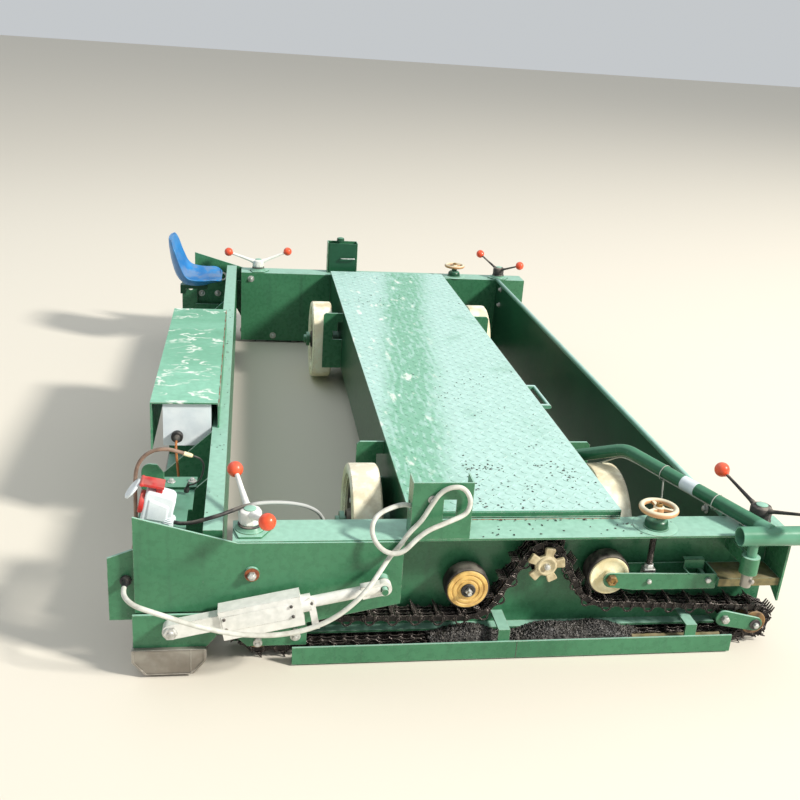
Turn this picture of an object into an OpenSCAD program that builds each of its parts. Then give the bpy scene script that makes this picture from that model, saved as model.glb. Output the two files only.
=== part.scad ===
// Self-propelled paver for rubber track surfacing, 2.5 m screed, on two cleated chain tracks
// X points ahead, Y to the left hand, Z up; the origin is on the ground under the machine's middle

/* [Frame] */
// Half of the width over the end frames' outer flange edges
half_w = 1500; // [1440:5:1560]
// Height of the end frames' top face above the ground
frame_top = 383; // [379:1:390]
// Rear end of the end frames, behind the middle
frame_rear = 650; // [646:1:654]
// Front end of the end frames, ahead of the middle
frame_front = 890; // [885:1:930]
// Width of the end frames' top flange
flange_w = 107; // [105:1:115]
// Thickness of the end frames' web
web_t = 8; // [6:0.5:10]
// Thickness of flanges, lips and shelves
flange_t = 6; // [4:0.5:8]
// Height of the web's lower edge above the ground
web_bottom = 12; // [8:1:20]

/* [Chain tracks] */
// Height of the two idler wheels' centres
idler_z = 76; // [74:1:82]
// Place of the rear idler behind the middle
rear_idler_x = 582; // [560:1:590]
// Place of the front idler ahead of the middle
front_idler_x = 849; // [835:1:860]
// Radius of the chain's pitch line round an idler
idler_pitch_r = 45; // [40:1:46]
// Half of a chain link's height
link_half = 11; // [8:0.5:12]
// Height of the cleats over the links
cleat_h = 20; // [14:0.5:20]
// Distance from cleat to cleat
cleat_pitch = 63.5; // [58:0.5:76.2]
// Width of the chain
chain_w = 60; // [50:1:62]
// Place of the drive star ahead of the middle
star_x = 195; // [180:1:210]
// Height of the drive star's centre
star_z = 283; // [270:1:285]
// Radius of the chain's pitch line round the drive star
star_pitch_r = 53; // [48:0.5:54]
// Place of the press roller behind the middle
press_x = 14; // [0:1:30]
// Height of the press roller's centre
press_z = 203; // [198:1:210]
// Place of the tension roller ahead of the middle
tension_x = 387; // [380:1:395]
// Height of the tension roller's centre
tension_z = 237; // [230:1:242]
// Radius of the press and tension rollers
roller_r = 62; // [56:0.5:64]

/* [Transport wheels] */
// Radius of a transport wheel
wheel_r = 182; // [170:1:186]
// Width of a transport wheel's tread
wheel_w = 95; // [80:1:96]
// Height of the transport wheels' axles
wheel_z = 197; // [192:1:210]
// Place of the right-hand wheels to the right of the middle
wheel_right_y = 1050; // [1000:5:1080]
// Place of the left-hand wheels to the left of the middle
wheel_left_y = 835; // [800:5:1000]

/* [Deck] */
// Rear face of the deck behind the middle
deck_rear = 180; // [170:1:190]
// Front face of the deck ahead of the middle
deck_front = 425; // [400:1:430]
// Height of the deck plate's top
deck_top = 405; // [400:1:415]
// Height of the deck beams' lower edge
beam_bottom = 120; // [100:1:140]
// Place of the front plate ahead of the middle
front_plate_x = 735; // [715:1:745]

/* [Screed] */
// Height of the screed's hinge line
hinge_z = 294; // [285:1:300]
// Place of the screed's hinge line behind the middle
hinge_x = 600; // [598:1:604]
// Rear edge of the ironing plate behind the middle
pan_rear = 905; // [895:1:910]
// Front edge of the ironing plate behind the middle
pan_front = 715; // [705:1:725]
// Height of the ironing plate's flat sole above the ground
sole_z = 10; // [8:1:20]
// Height of the ironing plate's upper edge
pan_top = 85; // [80:1:90]
// Length of the cabinet cover along the screed
cover_len = 1090; // [900:10:1200]
// Height of the cabinet cover's top
cover_top = 485; // [470:1:500]

/* [Seat and handles] */
// Rear reach of the seat's back behind the middle
seat_rear = 1010; // [1000:1:1030]
// Lowest point of the seat's bowl above the ground
seat_z = 346; // [340:1:356]
// Forward reach of the guide handle ahead of the middle
handle_front = 1010; // [980:5:1060]
// Outer radius of the guide handle's cross tube
handle_tube_r = 27; // [22:0.5:30]

/* [Hidden] */
$fn = 64;

// paints and bare materials
green = [0.16, 0.42, 0.28];
pale_green = [0.55, 0.78, 0.67];
dark_steel = [0.22, 0.21, 0.20];
bright_steel = [0.70, 0.70, 0.68];
cream = [0.93, 0.90, 0.76];
rubber = [0.09, 0.09, 0.09];
white_paint = [0.88, 0.89, 0.88];
orange = [0.92, 0.33, 0.18];
blue = [0.15, 0.50, 0.85];

// clearances
gap = 0.3;        // between faces that lie on each other
pin_play = 0.05;  // radial play of a pin in its bore

// distances outward from the middle plane
web_out = half_w - flange_w;
web_in = web_out - web_t;
chain_in = web_out + 9;
chain_out = chain_in + chain_w;
plate_t = 6;
plate_out = half_w + plate_t;

// the chain's loop
press_pitch_r = roller_r + cleat_h + link_half + gap;
belt = [ // centre x, centre z, pitch radius, less than zero where a roller presses from outside
  [-rear_idler_x, idler_z, idler_pitch_r],
  [front_idler_x, idler_z, idler_pitch_r],
  [tension_x, tension_z, -press_pitch_r],
  [star_x, star_z, star_pitch_r],
  [-press_x, press_z, -press_pitch_r]];
belt_n = len(belt);

// the reach of the whole machine, which puts the origin under its middle
datum_x = (seat_rear - handle_front) / 2;

function wrap(a) = a - 360 * floor(a / 360);
function at(i) = belt[(i + belt_n) % belt_n];
// heading of the straight run that leaves wheel i
function heading(i) = let(a = at(i), b = at(i + 1), dx = b[0] - a[0], dz = b[1] - a[1])
  wrap(atan2(dz, dx) + asin((a[2] - b[2]) / norm([dx, dz])));
// turn of the chain round wheel i, to the left where it is positive
function turn(i) = at(i)[2] > 0 ? wrap(heading(i) - heading(i - 1)) : -wrap(heading(i - 1) - heading(i));
function right_of(h) = [sin(h), -cos(h)];
function ahead_of(h) = [cos(h), sin(h)];
function centre(i) = [at(i)[0], at(i)[1]];
function on_wheel(i, h, off) = centre(i) + (at(i)[2] + off) * right_of(h);
function run_len(i) = norm(on_wheel(i + 1, heading(i), 0) - on_wheel(i, heading(i), 0));
function arc_len(i) = at(i)[2] * turn(i) * PI / 180;
belt_steps = [for (i = [0 : belt_n - 1]) each [arc_len(i), run_len(i)]];
function total(v, k = 0) = k < len(v) ? v[k] + total(v, k + 1) : 0;
belt_len = total(belt_steps);
cleat_n = round(belt_len / cleat_pitch);
// place and heading at distance d along the loop
function along(d, k = 0) = d > belt_steps[k] ? along(d - belt_steps[k], k + 1) :
  let(i = floor(k / 2), share = d / belt_steps[k], start = heading(i - 1) + share * turn(i))
  k % 2 == 0 ? [on_wheel(i, start, 0), start] :
  [on_wheel(i, heading(i), 0) + d * ahead_of(heading(i)), heading(i)];
// closed line beside the pitch line, off to its outer side
function belt_line(off) = [for (i = [0 : belt_n - 1])
  let(n = ceil(abs(turn(i)) / 12)) for (k = [0 : n])
    on_wheel(i, heading(i - 1) + turn(i) * k / n, off)];

// helpers: profiles across the machine and along it, for the right-hand side
module placed() { translate([datum_x, 0, 0]) children(); }
module both_sides() { children(); mirror([0, 1, 0]) children(); }
// a side view (x, z) as a plate between two distances outward
module plate(inner, outer) {
  translate([0, -inner, 0]) rotate([90, 0, 0]) linear_extrude(outer - inner) children();
}
// a cross-section (outward, z) as a bar between two places along x
module bar(x0, x1) { translate([x1, 0, 0]) rotate([90, 0, -90]) linear_extrude(x1 - x0) children(); }
module box(x0, x1, y0, y1, z0, z1) { translate([x0, y0, z0]) cube([x1 - x0, y1 - y0, z1 - z0]); }
// a round piece along y between two distances outward
module disc(x, z, r, inner, outer) {
  translate([x, -inner, z]) rotate([90, 0, 0]) cylinder(r = r, h = outer - inner);
}
module rod_x(x0, x1, y, z, r) { translate([x0, y, z]) rotate([0, 90, 0]) cylinder(r = r, h = x1 - x0); }
module rod_z(x, y, z0, z1, r) { translate([x, y, z0]) cylinder(r = r, h = z1 - z0); }

// end frames
lip_z = 50;
lip_w = 30;
lip_rear = 480;
lip_front = 750;
cap_low = 167;
cap_slant = 60;
shelf_z = 232;
shelf_rear = 700;
shelf_lip = 17;
module end_channel() {
  plate(web_in, web_out)
    translate([-frame_rear, web_bottom]) square([frame_rear + frame_front, frame_top - web_bottom]);
  bar(-frame_rear, frame_front)
    translate([web_out, frame_top - flange_t]) square([flange_w, flange_t]);
  bar(-lip_rear, lip_front)
    translate([web_out, lip_z]) square([lip_w, flange_t]);
  bar(frame_front - flange_t, frame_front)
    polygon([[web_out, frame_top - flange_t], [half_w, frame_top - flange_t],
      [half_w - flange_t, cap_low], [web_out, cap_low + cap_slant]]);
  bar(shelf_rear, frame_front - flange_t) {
    translate([web_out, shelf_z]) square([flange_w - 2 * flange_t, flange_t]);
    translate([half_w - 3 * flange_t, shelf_z - shelf_lip]) square([flange_t, shelf_lip]);
  }
}

// the socket that carries the guide handle's pin on the right-hand end frame
socket_x = 758;
socket_r = 25;
socket_z0 = 283;
socket_z1 = 334;
handle_y = half_w + handle_tube_r + gap;
handle_pin_r = 14;
module handle_socket() {
  difference() {
    union() {
      rod_z(socket_x, -handle_y, socket_z0, socket_z1, socket_r);
      box(socket_x - flange_t, socket_x + flange_t, -handle_y, -web_out,
        socket_z0 + flange_t, socket_z1 - flange_t);
    }
    rod_z(socket_x, -handle_y, socket_z0 - 1, socket_z1 + 1, handle_pin_r + pin_play);
  }
}
module end_frame_r() { color(green) placed() { end_channel(); handle_socket(); } }
module end_frame_l() { color(green) placed() mirror([0, 1, 0]) end_channel(); }

// side plates with the screed's hinge pins, the actuators' front pins and the rear wings
side_rear = 895;
side_rear_z = 457;
side_split_z = 183;
side_split_x = 690;
side_low_x = 645;
side_low_z = 101;
side_front = 208;
side_front_z = 194;
wing_rear = 962;
wing_z0 = 150;
wing_z1 = 331;
wing_in = half_w - 22;
wing_t = 8;
exit_x = 917;
exit_z = 269;
exit_r = 14;
gland_face = 6;
hinge_pin_r = 10;
hinge_pin_in = half_w - 44;
front_pin_x = 261;
front_pin_z = 269;
act_pin_r = 9;
act_in = half_w + 30;
act_w = 30;
act_pin_end = act_in + act_w + 12;
module side_plate() {
  plate(half_w, plate_out)
    polygon([[-side_rear, side_rear_z], [-side_rear, side_split_z], [-side_split_x, side_split_z],
      [-side_low_x, side_low_z], [-side_front, side_front_z], [-side_front, frame_top - 4],
      [-frame_rear + 13, frame_top - 2]]);
  plate(wing_in, wing_in + wing_t) difference() {
    polygon([[-wing_rear, wing_z0], [-side_rear + 12, wing_z0], [-side_rear + 12, wing_z1 + 30],
      [-wing_rear, wing_z1]]);
    translate([-exit_x, exit_z]) circle(r = exit_r);
  }
  plate(wing_in + wing_t, half_w)
    translate([-side_rear, side_split_z + 20]) square([12, wing_z1 - side_split_z - 20]);
  disc(-hinge_x, hinge_z, hinge_pin_r, hinge_pin_in, half_w);
  disc(-hinge_x, hinge_z, 2 * hinge_pin_r, plate_out, plate_out + 8);
  disc(-front_pin_x, front_pin_z, act_pin_r, plate_out, act_pin_end);
  disc(-front_pin_x, front_pin_z, 2 * act_pin_r, plate_out, act_in - 2);
}
module side_plates() {
  color(green) placed() {
    both_sides() side_plate();
    disc(-exit_x, exit_z, exit_r, wing_in, wing_in + wing_t + gland_face);
  }
}

// guard angles in front of the chains' lower runs, held by stays from the webs
guard_rear = 491;
guard_front = 770;
guard_z0 = 5;
guard_z1 = 58;
guard_leg = 26;
stay_x = [93, 643];
stay_w = 33;
stay_z = 93;
module guard_rail() {
  difference() {
    bar(-guard_rear, guard_front) {
      translate([half_w - flange_t, guard_z0]) square([flange_t, guard_z1 - guard_z0]);
      translate([half_w - guard_leg, guard_z0]) square([guard_leg, flange_t]);
    }
    translate([guard_front, -half_w, guard_z0]) rotate([0, 45, 0])
      translate([0, -1, -2 * guard_z1]) cube([guard_z1, guard_leg + flange_t + 4, 4 * guard_z1]);
  }
  for (x = stay_x) bar(x - stay_w / 2, x + stay_w / 2) {
    translate([half_w - 2 * flange_t, guard_z0 + flange_t]) square([flange_t, stay_z - guard_z0 - flange_t]);
    translate([web_out, stay_z - flange_t]) square([flange_w - flange_t, flange_t]);
  }
}
module guard_rails() { color(green) placed() both_sides() guard_rail(); }

// chain tracks: one closed loop with its cleats
cleat_foot = 13;
cleat_tip = 7;
// a cleat in the side view, on the outer side of the chain at distance d along it
module cleat(d) {
  spot = along(d);
  foot = spot[0] + (link_half - 3) * right_of(spot[1]);
  tip = spot[0] + (link_half + cleat_h) * right_of(spot[1]);
  step = ahead_of(spot[1]);
  polygon([foot - cleat_foot * step, foot + cleat_foot * step, tip + cleat_tip * step, tip - cleat_tip * step]);
}
module chain_track() {
  union() {
    plate(chain_in, chain_out) difference() {
      polygon(belt_line(link_half));
      polygon(belt_line(-link_half));
    }
    for (k = [0 : cleat_n - 1]) plate(chain_in, chain_out) cleat((k + 0.5) * belt_len / cleat_n);
  }
}
module track_r() { color(dark_steel) placed() chain_track(); }
module track_l() { color(dark_steel) placed() mirror([0, 1, 0]) chain_track(); }

// drive stars: shaft, drum inside the chain and a five-lobed casting in front of it
star_out = chain_out + 3;
star_w = 12;
shaft_r = 20;
lobe_n = 5;
lobe_r = 15;
module drive_star() {
  disc(star_x, star_z, star_pitch_r - link_half - gap, chain_in, chain_out);
  disc(star_x, star_z, shaft_r, web_out, star_out + star_w + 6);
  plate(star_out, star_out + star_w) translate([star_x, star_z]) {
    circle(r = star_pitch_r - lobe_r);
    for (k = [0 : lobe_n - 1]) rotate(360 / lobe_n * k)
      translate([star_pitch_r - lobe_r, 0]) circle(r = lobe_r);
  }
}
module drive_stars() { color(bright_steel) placed() both_sides() drive_star(); }

// rollers that press on the chain's upper run
tyre_wall = 14;
roller_in = chain_in + 6;
roller_out = chain_out - 2;
axle_r = 10;
module roller_tyre(x, z) {
  difference() {
    disc(x, z, roller_r, roller_in, roller_out);
    disc(x, z, roller_r - tyre_wall, roller_in - 1, roller_out + 1);
  }
}
module roller_hub(x, z) {
  disc(x, z, roller_r - tyre_wall, roller_in, roller_out - 4);
  disc(x, z, 2 * axle_r, roller_out - 4, roller_out + 8);
  disc(x, z, axle_r, web_out, roller_out + 26);
  disc(x, z, 1.6 * axle_r, web_out, roller_in);
}
module roller_tyres() {
  color(rubber) placed() both_sides() { roller_tyre(-press_x, press_z); roller_tyre(tension_x, tension_z); }
}
module roller_hubs() {
  color(cream) placed() both_sides() { roller_hub(-press_x, press_z); roller_hub(tension_x, tension_z); }
}

// tension arms: channels hinged at the web, pushed down on the chain by a screw
arm_front = 699;
arm_pin_x = 679;
arm_h = 50;
arm_z = 222;
arm_t = 5;
arm_in = chain_in + 2;
arm_out = roller_out + 16;
arm_low = arm_z - arm_h / 2 + 4;
arm_eye_out_r = 22;
arm_neck = 70;        // from the roller's axle to where the arm has its full height
arm_bolt_r = 8;
module tension_arm() {
  // near cheek out to the roller's axle
  plate(arm_out - arm_t, arm_out) difference() {
    hull() {
      translate([tension_x, tension_z - 4]) circle(r = arm_eye_out_r);
      translate([tension_x + arm_neck, arm_low]) square([arm_front - tension_x - arm_neck, arm_h - 4]);
    }
    translate([tension_x, tension_z]) circle(r = axle_r + pin_play);
  }
  // web of the channel and far cheek
  bar(tension_x + roller_r + 12, arm_front) {
    translate([arm_in, arm_low]) square([arm_out - arm_t - arm_in, arm_t]);
    translate([arm_in, arm_low]) square([arm_t, arm_h - 4]);
  }
  bar(arm_front - arm_t, arm_front)
    translate([arm_in, arm_low]) square([arm_out - arm_in, arm_h - 4]);
  disc(arm_pin_x, arm_z, arm_bolt_r, web_out, arm_out + arm_bolt_r);
}
module tension_arms() { color(green) placed() both_sides() tension_arm(); }

// handwheels on their bosses, with the screws down to the tension arms
screw_x = 505;
screw_y = half_w - 54;
screw_r = 9;
boss_r = 36;
boss_h = 30;
post_r = 14;
hand_hub_r = 15;
hand_hub_h = 18;
spoke_w = 12;
spoke_t = 8;
clevis_len = 34;
clevis_w = 28;
clevis_h = 58;
wheel_rim_r = 55;
wheel_rim_t = 9;
rim_z = frame_top + 58;
module handwheel() {
  translate([screw_x, -screw_y, 0]) {
    translate([0, 0, frame_top]) cylinder(r1 = boss_r, r2 = 0.72 * boss_r, h = boss_h);
    translate([0, 0, frame_top + boss_h]) cylinder(r = post_r, h = rim_z - frame_top - boss_h);
    translate([0, 0, rim_z]) rotate_extrude() translate([wheel_rim_r - wheel_rim_t, 0]) circle(r = wheel_rim_t);
    for (a = [90, 210, 330]) rotate(a)
      translate([0, -spoke_w / 2, rim_z - 5]) cube([wheel_rim_r - wheel_rim_t, spoke_w, spoke_t]);
    translate([0, 0, rim_z - 8]) cylinder(r = hand_hub_r, h = hand_hub_h);
    translate([0, 0, arm_z + clevis_h / 2])
      cylinder(r = screw_r, h = frame_top - flange_t - arm_z - clevis_h / 2);
    translate([-clevis_len / 2, -clevis_w / 2, arm_low + arm_t]) cube([clevis_len, clevis_w, clevis_h]);
  }
}
module handwheels() { color(cream) placed() both_sides() handwheel(); }

// idlers: drums inside the chain's ends with a side disc and the arm that carries them
idler_arm_t = 8;
idler_arm_in = chain_out + 6;
idler_axle_r = 11;
idler_eye_r = 22;
idler_bolt_r = 8;
idler_head_r = 12;
idler_pad_r = 25;
idler_end_r = 20;
idler_bolt_rise = 22;
idler_bolt_off = 99;
idler_arm_len = 107;
// idler whose arm reaches towards the machine's middle, s = 1 at the rear and -1 at the front
module idler(x, s) {
  bolt_x = x + s * idler_bolt_off;
  bolt_z = idler_z + idler_bolt_rise;
  disc(x, idler_z, idler_pitch_r - link_half - gap, chain_in, chain_out);
  disc(x, idler_z, idler_pitch_r - link_half + 3, chain_out, chain_out + 4);
  disc(x, idler_z, idler_axle_r, web_out, idler_arm_in + 3 * idler_arm_t);
  plate(idler_arm_in, idler_arm_in + idler_arm_t) hull() {
    translate([x, idler_z]) circle(r = idler_eye_r);
    translate([bolt_x, bolt_z]) circle(r = idler_pad_r);
    translate([x + s * idler_arm_len, bolt_z]) circle(r = idler_end_r);
  }
  disc(bolt_x, bolt_z, idler_bolt_r, web_out, idler_arm_in);
  disc(bolt_x, bolt_z, idler_head_r, idler_arm_in + idler_arm_t, idler_arm_in + 2 * idler_arm_t);
}
module idlers() {
  color(dark_steel) placed() both_sides() {
    idler(-rear_idler_x, 1);
    idler(front_idler_x, -1);
  }
}

// chassis beams between the end frames, under the deck
beam_t = 8;
rear_beam_x = deck_rear;
front_beam_x = deck_front - beam_t;
tie_y = [-900, 0, 700];
module chassis_beams() {
  color(green) placed() {
    box(-rear_beam_x, -rear_beam_x + beam_t, -web_in, web_in, beam_bottom, deck_top - flange_t);
    box(front_beam_x, front_beam_x + beam_t, -web_in, web_in, beam_bottom, deck_top - flange_t);
    for (y = tie_y)
      box(-rear_beam_x + beam_t, front_beam_x, y - beam_t / 2, y + beam_t / 2,
        beam_bottom, deck_top - flange_t);
  }
}

// deck plate with a turned-down edge at each end and a grab handle on its front edge
deck_end = web_in - gap;
deck_lip = 25;
grab_y = -440;
grab_half = 100;
grab_reach = 40;
grab_r = 7;
module deck_cover() {
  color(pale_green) placed() {
    box(-rear_beam_x, deck_front, -deck_end, deck_end, deck_top - flange_t, deck_top);
    for (s = [-1, 1])
      box(front_beam_x + beam_t, front_beam_x + beam_t + grab_reach, grab_y + s * grab_half - grab_r,
        grab_y + s * grab_half + grab_r, deck_top - deck_lip, deck_top - deck_lip + 2 * grab_r);
    translate([front_beam_x + beam_t + grab_reach, grab_y - grab_half - grab_r, deck_top - deck_lip + grab_r])
      rotate([-90, 0, 0]) cylinder(r = grab_r, h = 2 * (grab_half + grab_r));
  }
}

// front plate between the webs, with a rolled upper edge
front_low = 30;
front_bead_r = 9;
front_top = frame_top + 8;
module front_plate() {
  color(green) placed() {
    box(front_plate_x, front_plate_x + flange_t, -web_in, web_in, front_low, front_top - front_bead_r);
    translate([front_plate_x + flange_t / 2, -web_in, front_top - front_bead_r])
      rotate([-90, 0, 0]) cylinder(r = front_bead_r, h = 2 * web_in);
  }
}

// drive motors with their gear cases, one behind each drive star
motor_len = 300;
motor_r = 80;
module drive_motors() {
  color(dark_steel) placed() both_sides()
    disc(star_x, star_z, motor_r, web_in - motor_len, web_in);
}

// transport wheels: axles along x, bolted to the beams' outer faces
hub_disc_r = 138;
stub_r = 20;
rear_wheel_x0 = 313;
front_wheel_x0 = 450;
nut_reach = 32;
tyre_side = 18;
wheel_spots = [ // end of the machine (-1 rear, 1 front), place across
  [-1, -wheel_right_y], [1, -wheel_right_y], [-1, wheel_left_y], [1, wheel_left_y]];
function wheel_x0(s) = s[0] < 0 ? -rear_wheel_x0 : front_wheel_x0;
module wheel_tyre(s) {
  difference() {
    rod_x(wheel_x0(s), wheel_x0(s) + wheel_w, s[1], wheel_z, wheel_r);
    rod_x(wheel_x0(s) - 1, wheel_x0(s) + wheel_w + 1, s[1], wheel_z, hub_disc_r);
  }
}
module wheel_hub(s) {
  difference() {
    union() {
      rod_x(wheel_x0(s) + tyre_side, wheel_x0(s) + wheel_w - tyre_side, s[1], wheel_z, hub_disc_r);
      rod_x(wheel_x0(s), wheel_x0(s) + wheel_w, s[1], wheel_z, 2 * stub_r);
    }
    rod_x(wheel_x0(s) - 1, wheel_x0(s) + wheel_w + 1, s[1], wheel_z, stub_r + pin_play);
  }
}
module wheel_tyre_rr() { color(cream) placed() wheel_tyre(wheel_spots[0]); }
module wheel_tyre_fr() { color(cream) placed() wheel_tyre(wheel_spots[1]); }
module wheel_tyre_rl() { color(cream) placed() wheel_tyre(wheel_spots[2]); }
module wheel_tyre_fl() { color(cream) placed() wheel_tyre(wheel_spots[3]); }
module wheel_hub_rr() { color(dark_steel) placed() wheel_hub(wheel_spots[0]); }
module wheel_hub_fr() { color(dark_steel) placed() wheel_hub(wheel_spots[1]); }
module wheel_hub_rl() { color(dark_steel) placed() wheel_hub(wheel_spots[2]); }
module wheel_hub_fl() { color(dark_steel) placed() wheel_hub(wheel_spots[3]); }

// stub axles with their notched gussets
gusset_t = 8;
gusset_out = 88;
gusset_z1 = deck_top - 20;
gusset_side = wheel_r + 14;
notch_h = 42;
module stub_axle(s) {
  inner = s[0] < 0 ? wheel_x0(s) + wheel_w : wheel_x0(s);
  outer = s[0] < 0 ? wheel_x0(s) : wheel_x0(s) + wheel_w;
  face = s[0] < 0 ? -rear_beam_x : deck_front;
  washer = 5 * s[0];
  rod_x(min(face, outer + nut_reach * s[0]), max(face, outer + nut_reach * s[0]), s[1], wheel_z, stub_r);
  rod_x(min(outer + washer, outer + 4 * washer), max(outer + washer, outer + 4 * washer),
    s[1], wheel_z, 1.7 * stub_r);
  rod_x(min(face, inner - washer), max(face, inner - washer), s[1], wheel_z, 2 * stub_r);
}
module gusset(s) {
  face = s[0] < 0 ? -rear_beam_x : deck_front;
  inward = s[1] < 0 ? 1 : -1;
  // side view with x measured out from the beam's face
  translate([face, s[1] + inward * gusset_side, 0]) mirror([s[0] > 0 ? 1 : 0, 0, 0])
    rotate([90, 0, 0]) linear_extrude(gusset_t) polygon([
      [0, gusset_z1], [-gusset_out + 10, gusset_z1], [-gusset_out, gusset_z1 - 10], [-gusset_out, beam_bottom],
      [0, beam_bottom], [0, gusset_z1 - 3 * notch_h], [-gusset_out / 2, gusset_z1 - 3 * notch_h],
      [-gusset_out / 2, gusset_z1 - 2 * notch_h], [-gusset_out / 4, gusset_z1 - 2 * notch_h],
      [-gusset_out / 4, gusset_z1 - notch_h], [0, gusset_z1 - notch_h]]);
}
module wheel_brackets() {
  color(green) placed() for (s = wheel_spots) { stub_axle(s); gusset(s); }
}

// guide handle: cross tube on a pin in its socket, and the bent tube back to the front beam
bent_r = 20;
bent_bend = 90;
bend_lap = 3;
bend_step = 0.4;
handle_tube_z = frame_top + handle_tube_r - 15;
bent_sink = 20;       // how far the bent tube's foot is carried past the beam's face before it is cut
bent_foot = [deck_front - bent_sink, -(half_w - 597), frame_top - 33];
bent_apex = [deck_front + 132, -(half_w - 451), frame_top + 59];
bent_end = [frame_front - 90, -handle_y, handle_tube_z + 14];
handle_left = 712;
handle_pin_low = 241;
tube_wall = 3;
// a round bar between two points
module bar_between(a, b, r) {
  d = b - a;
  translate(a) rotate([0, acos(d[2] / norm(d)), atan2(d[1], d[0])]) cylinder(r = r, h = norm(d));
}
// a round bar from a to c, bent at b with a radius
module bent_bar(a, b, c, r, bend) {
  d1 = (b - a) / norm(b - a);
  d2 = (c - b) / norm(c - b);
  turned = acos(d1 * d2);
  reach = bend * tan(turned / 2);
  middle = b + (d2 - d1) / norm(d2 - d1) * bend / cos(turned / 2);
  u = (b - reach * d1 - middle) / bend;
  w = cross(u, d1);
  bar_between(a, b - (reach - bend_lap) * d1, r);
  bar_between(b + (reach - bend_lap) * d2, c, r);
  multmatrix([[u[0], d1[0], w[0], middle[0]], [u[1], d1[1], w[1], middle[1]], [u[2], d1[2], w[2], middle[2]]])
    rotate_extrude(angle = turned) translate([bend, 0]) circle(r = r - bend_step);
}
module guide_handle() {
  color(green) placed() difference() {
    union() {
      rod_x(handle_left, handle_front, -handle_y, handle_tube_z, handle_tube_r);
      bent_bar(bent_foot, bent_apex, bent_end, bent_r, bent_bend);
      rod_z(socket_x, -handle_y, handle_pin_low, handle_tube_z, handle_pin_r);
    }
    rod_x(handle_left - 1, handle_front + 1, -handle_y, handle_tube_z, handle_tube_r - tube_wall);
    box(deck_front - 3 * bent_sink, deck_front, -web_in, 0, frame_top - 100, frame_top + 60);
  }
}

// boxes on the flanges that hold the cable and the hose
bracket_rear = 195;
bracket_front = 35;
bracket_top = 546;
bracket_t = 4;
bracket_in = half_w - 60;
window_x0 = 112;
window_x1 = 78;
window_z0 = 439;
window_z1 = 498;
thread_y = 34;        // the hole that the cable goes through, in from the flange's edge
thread_z = 466;
thread_r = 14;
module cable_bracket() {
  difference() {
    plate(half_w - bracket_t, half_w)
      translate([-bracket_rear, frame_top]) square([bracket_rear - bracket_front, bracket_top - frame_top]);
    plate(half_w - 2 * bracket_t, half_w + 1)
      translate([-window_x0, window_z0]) square([window_x0 - window_x1, window_z1 - window_z0]);
  }
  difference() {
    for (x = [-bracket_rear, -bracket_front - bracket_t])
      box(x, x + bracket_t, -half_w + bracket_t, -bracket_in, frame_top, bracket_top);
    rod_x(-bracket_rear - 1, -bracket_rear + bracket_t + 1, thread_y - half_w, thread_z, thread_r);
  }
}
module cable_brackets() { color(green) placed() both_sides() cable_bracket(); }

// two-ball levers on the four corners' lifting screws
lever_inset = 64;     // from the flange's outer edge
lever_spots = [ // x, outward from the middle, side (-1 right, 1 left), turn of the arms
  [44 - frame_rear, half_w - lever_inset, -1, 105], [88 - frame_rear, half_w - lever_inset, 1, 10],
  [frame_front - 75, half_w - lever_inset, -1, 112], [frame_front - 138, half_w - lever_inset, 1, 120]];
lever_boss_r = 38;
lever_boss_h = 18;
lever_hub_r = 30;
lever_hub_h = 36;
lever_grip = 3;       // how far an arm goes into its ball's hole
lever_arm = 165;
lever_arm_r = 6;
lever_tilt = 18;
ball_r = 22;
module at_lever(s) { translate([s[0], s[1] * s[2], frame_top]) rotate(s[3]) children(); }
module on_lever_arm() {
  translate([0, 0, lever_boss_h + lever_hub_h / 2]) rotate([0, 90 - lever_tilt, 0]) children();
}
module ball_levers() {
  color(white_paint) placed() for (s = lever_spots) at_lever(s) {
    cylinder(r = lever_boss_r, h = lever_boss_h);
    translate([0, 0, lever_boss_h]) cylinder(r = lever_hub_r, h = lever_hub_h);
    for (a = [0, 180]) rotate(a) on_lever_arm() cylinder(r = lever_arm_r, h = lever_arm - ball_r + lever_grip);
  }
}
module lever_balls() {
  color(orange) placed() for (s = lever_spots) at_lever(s)
    for (a = [0, 180]) rotate(a) on_lever_arm() translate([0, 0, lever_arm]) difference() {
      sphere(r = ball_r);
      translate([0, 0, -2 * ball_r]) cylinder(r = lever_arm_r + pin_play, h = ball_r + lever_grip + pin_play);
    }
}

// operator's bucket seat on its bracket
seat_y = half_w - 250;
seat_w = 340;
seat_len = 270;
seat_wall = 8;
seat_back_z = 590;
module seat() {
  color(blue) placed() translate([-seat_rear, seat_y + seat_w / 2, 0]) rotate([90, 0, 0])
    linear_extrude(seat_w) polygon([
      [0, seat_back_z], [12, seat_back_z], [40, seat_z + 90], [90, seat_z + 30], [seat_len - 60, seat_z + 22],
      [seat_len - 10, seat_z + 40], [seat_len, seat_z + 34], [seat_len - 50, seat_z + 10], [90, seat_z],
      [60, seat_z + 10], [22, seat_z + 80]]);
}
bracket_bar = 26;
seat_post_x = 955;
module seat_bracket() {
  color(green) placed() {
    box(-seat_post_x, -seat_post_x + bracket_bar, seat_y - 20, wing_in, seat_z - 45, seat_z - 45 + bracket_bar);
    box(-seat_post_x, -seat_rear + 190, seat_y - 20, seat_y + 20, seat_z - 19, seat_z - gap);
  }
}

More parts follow.
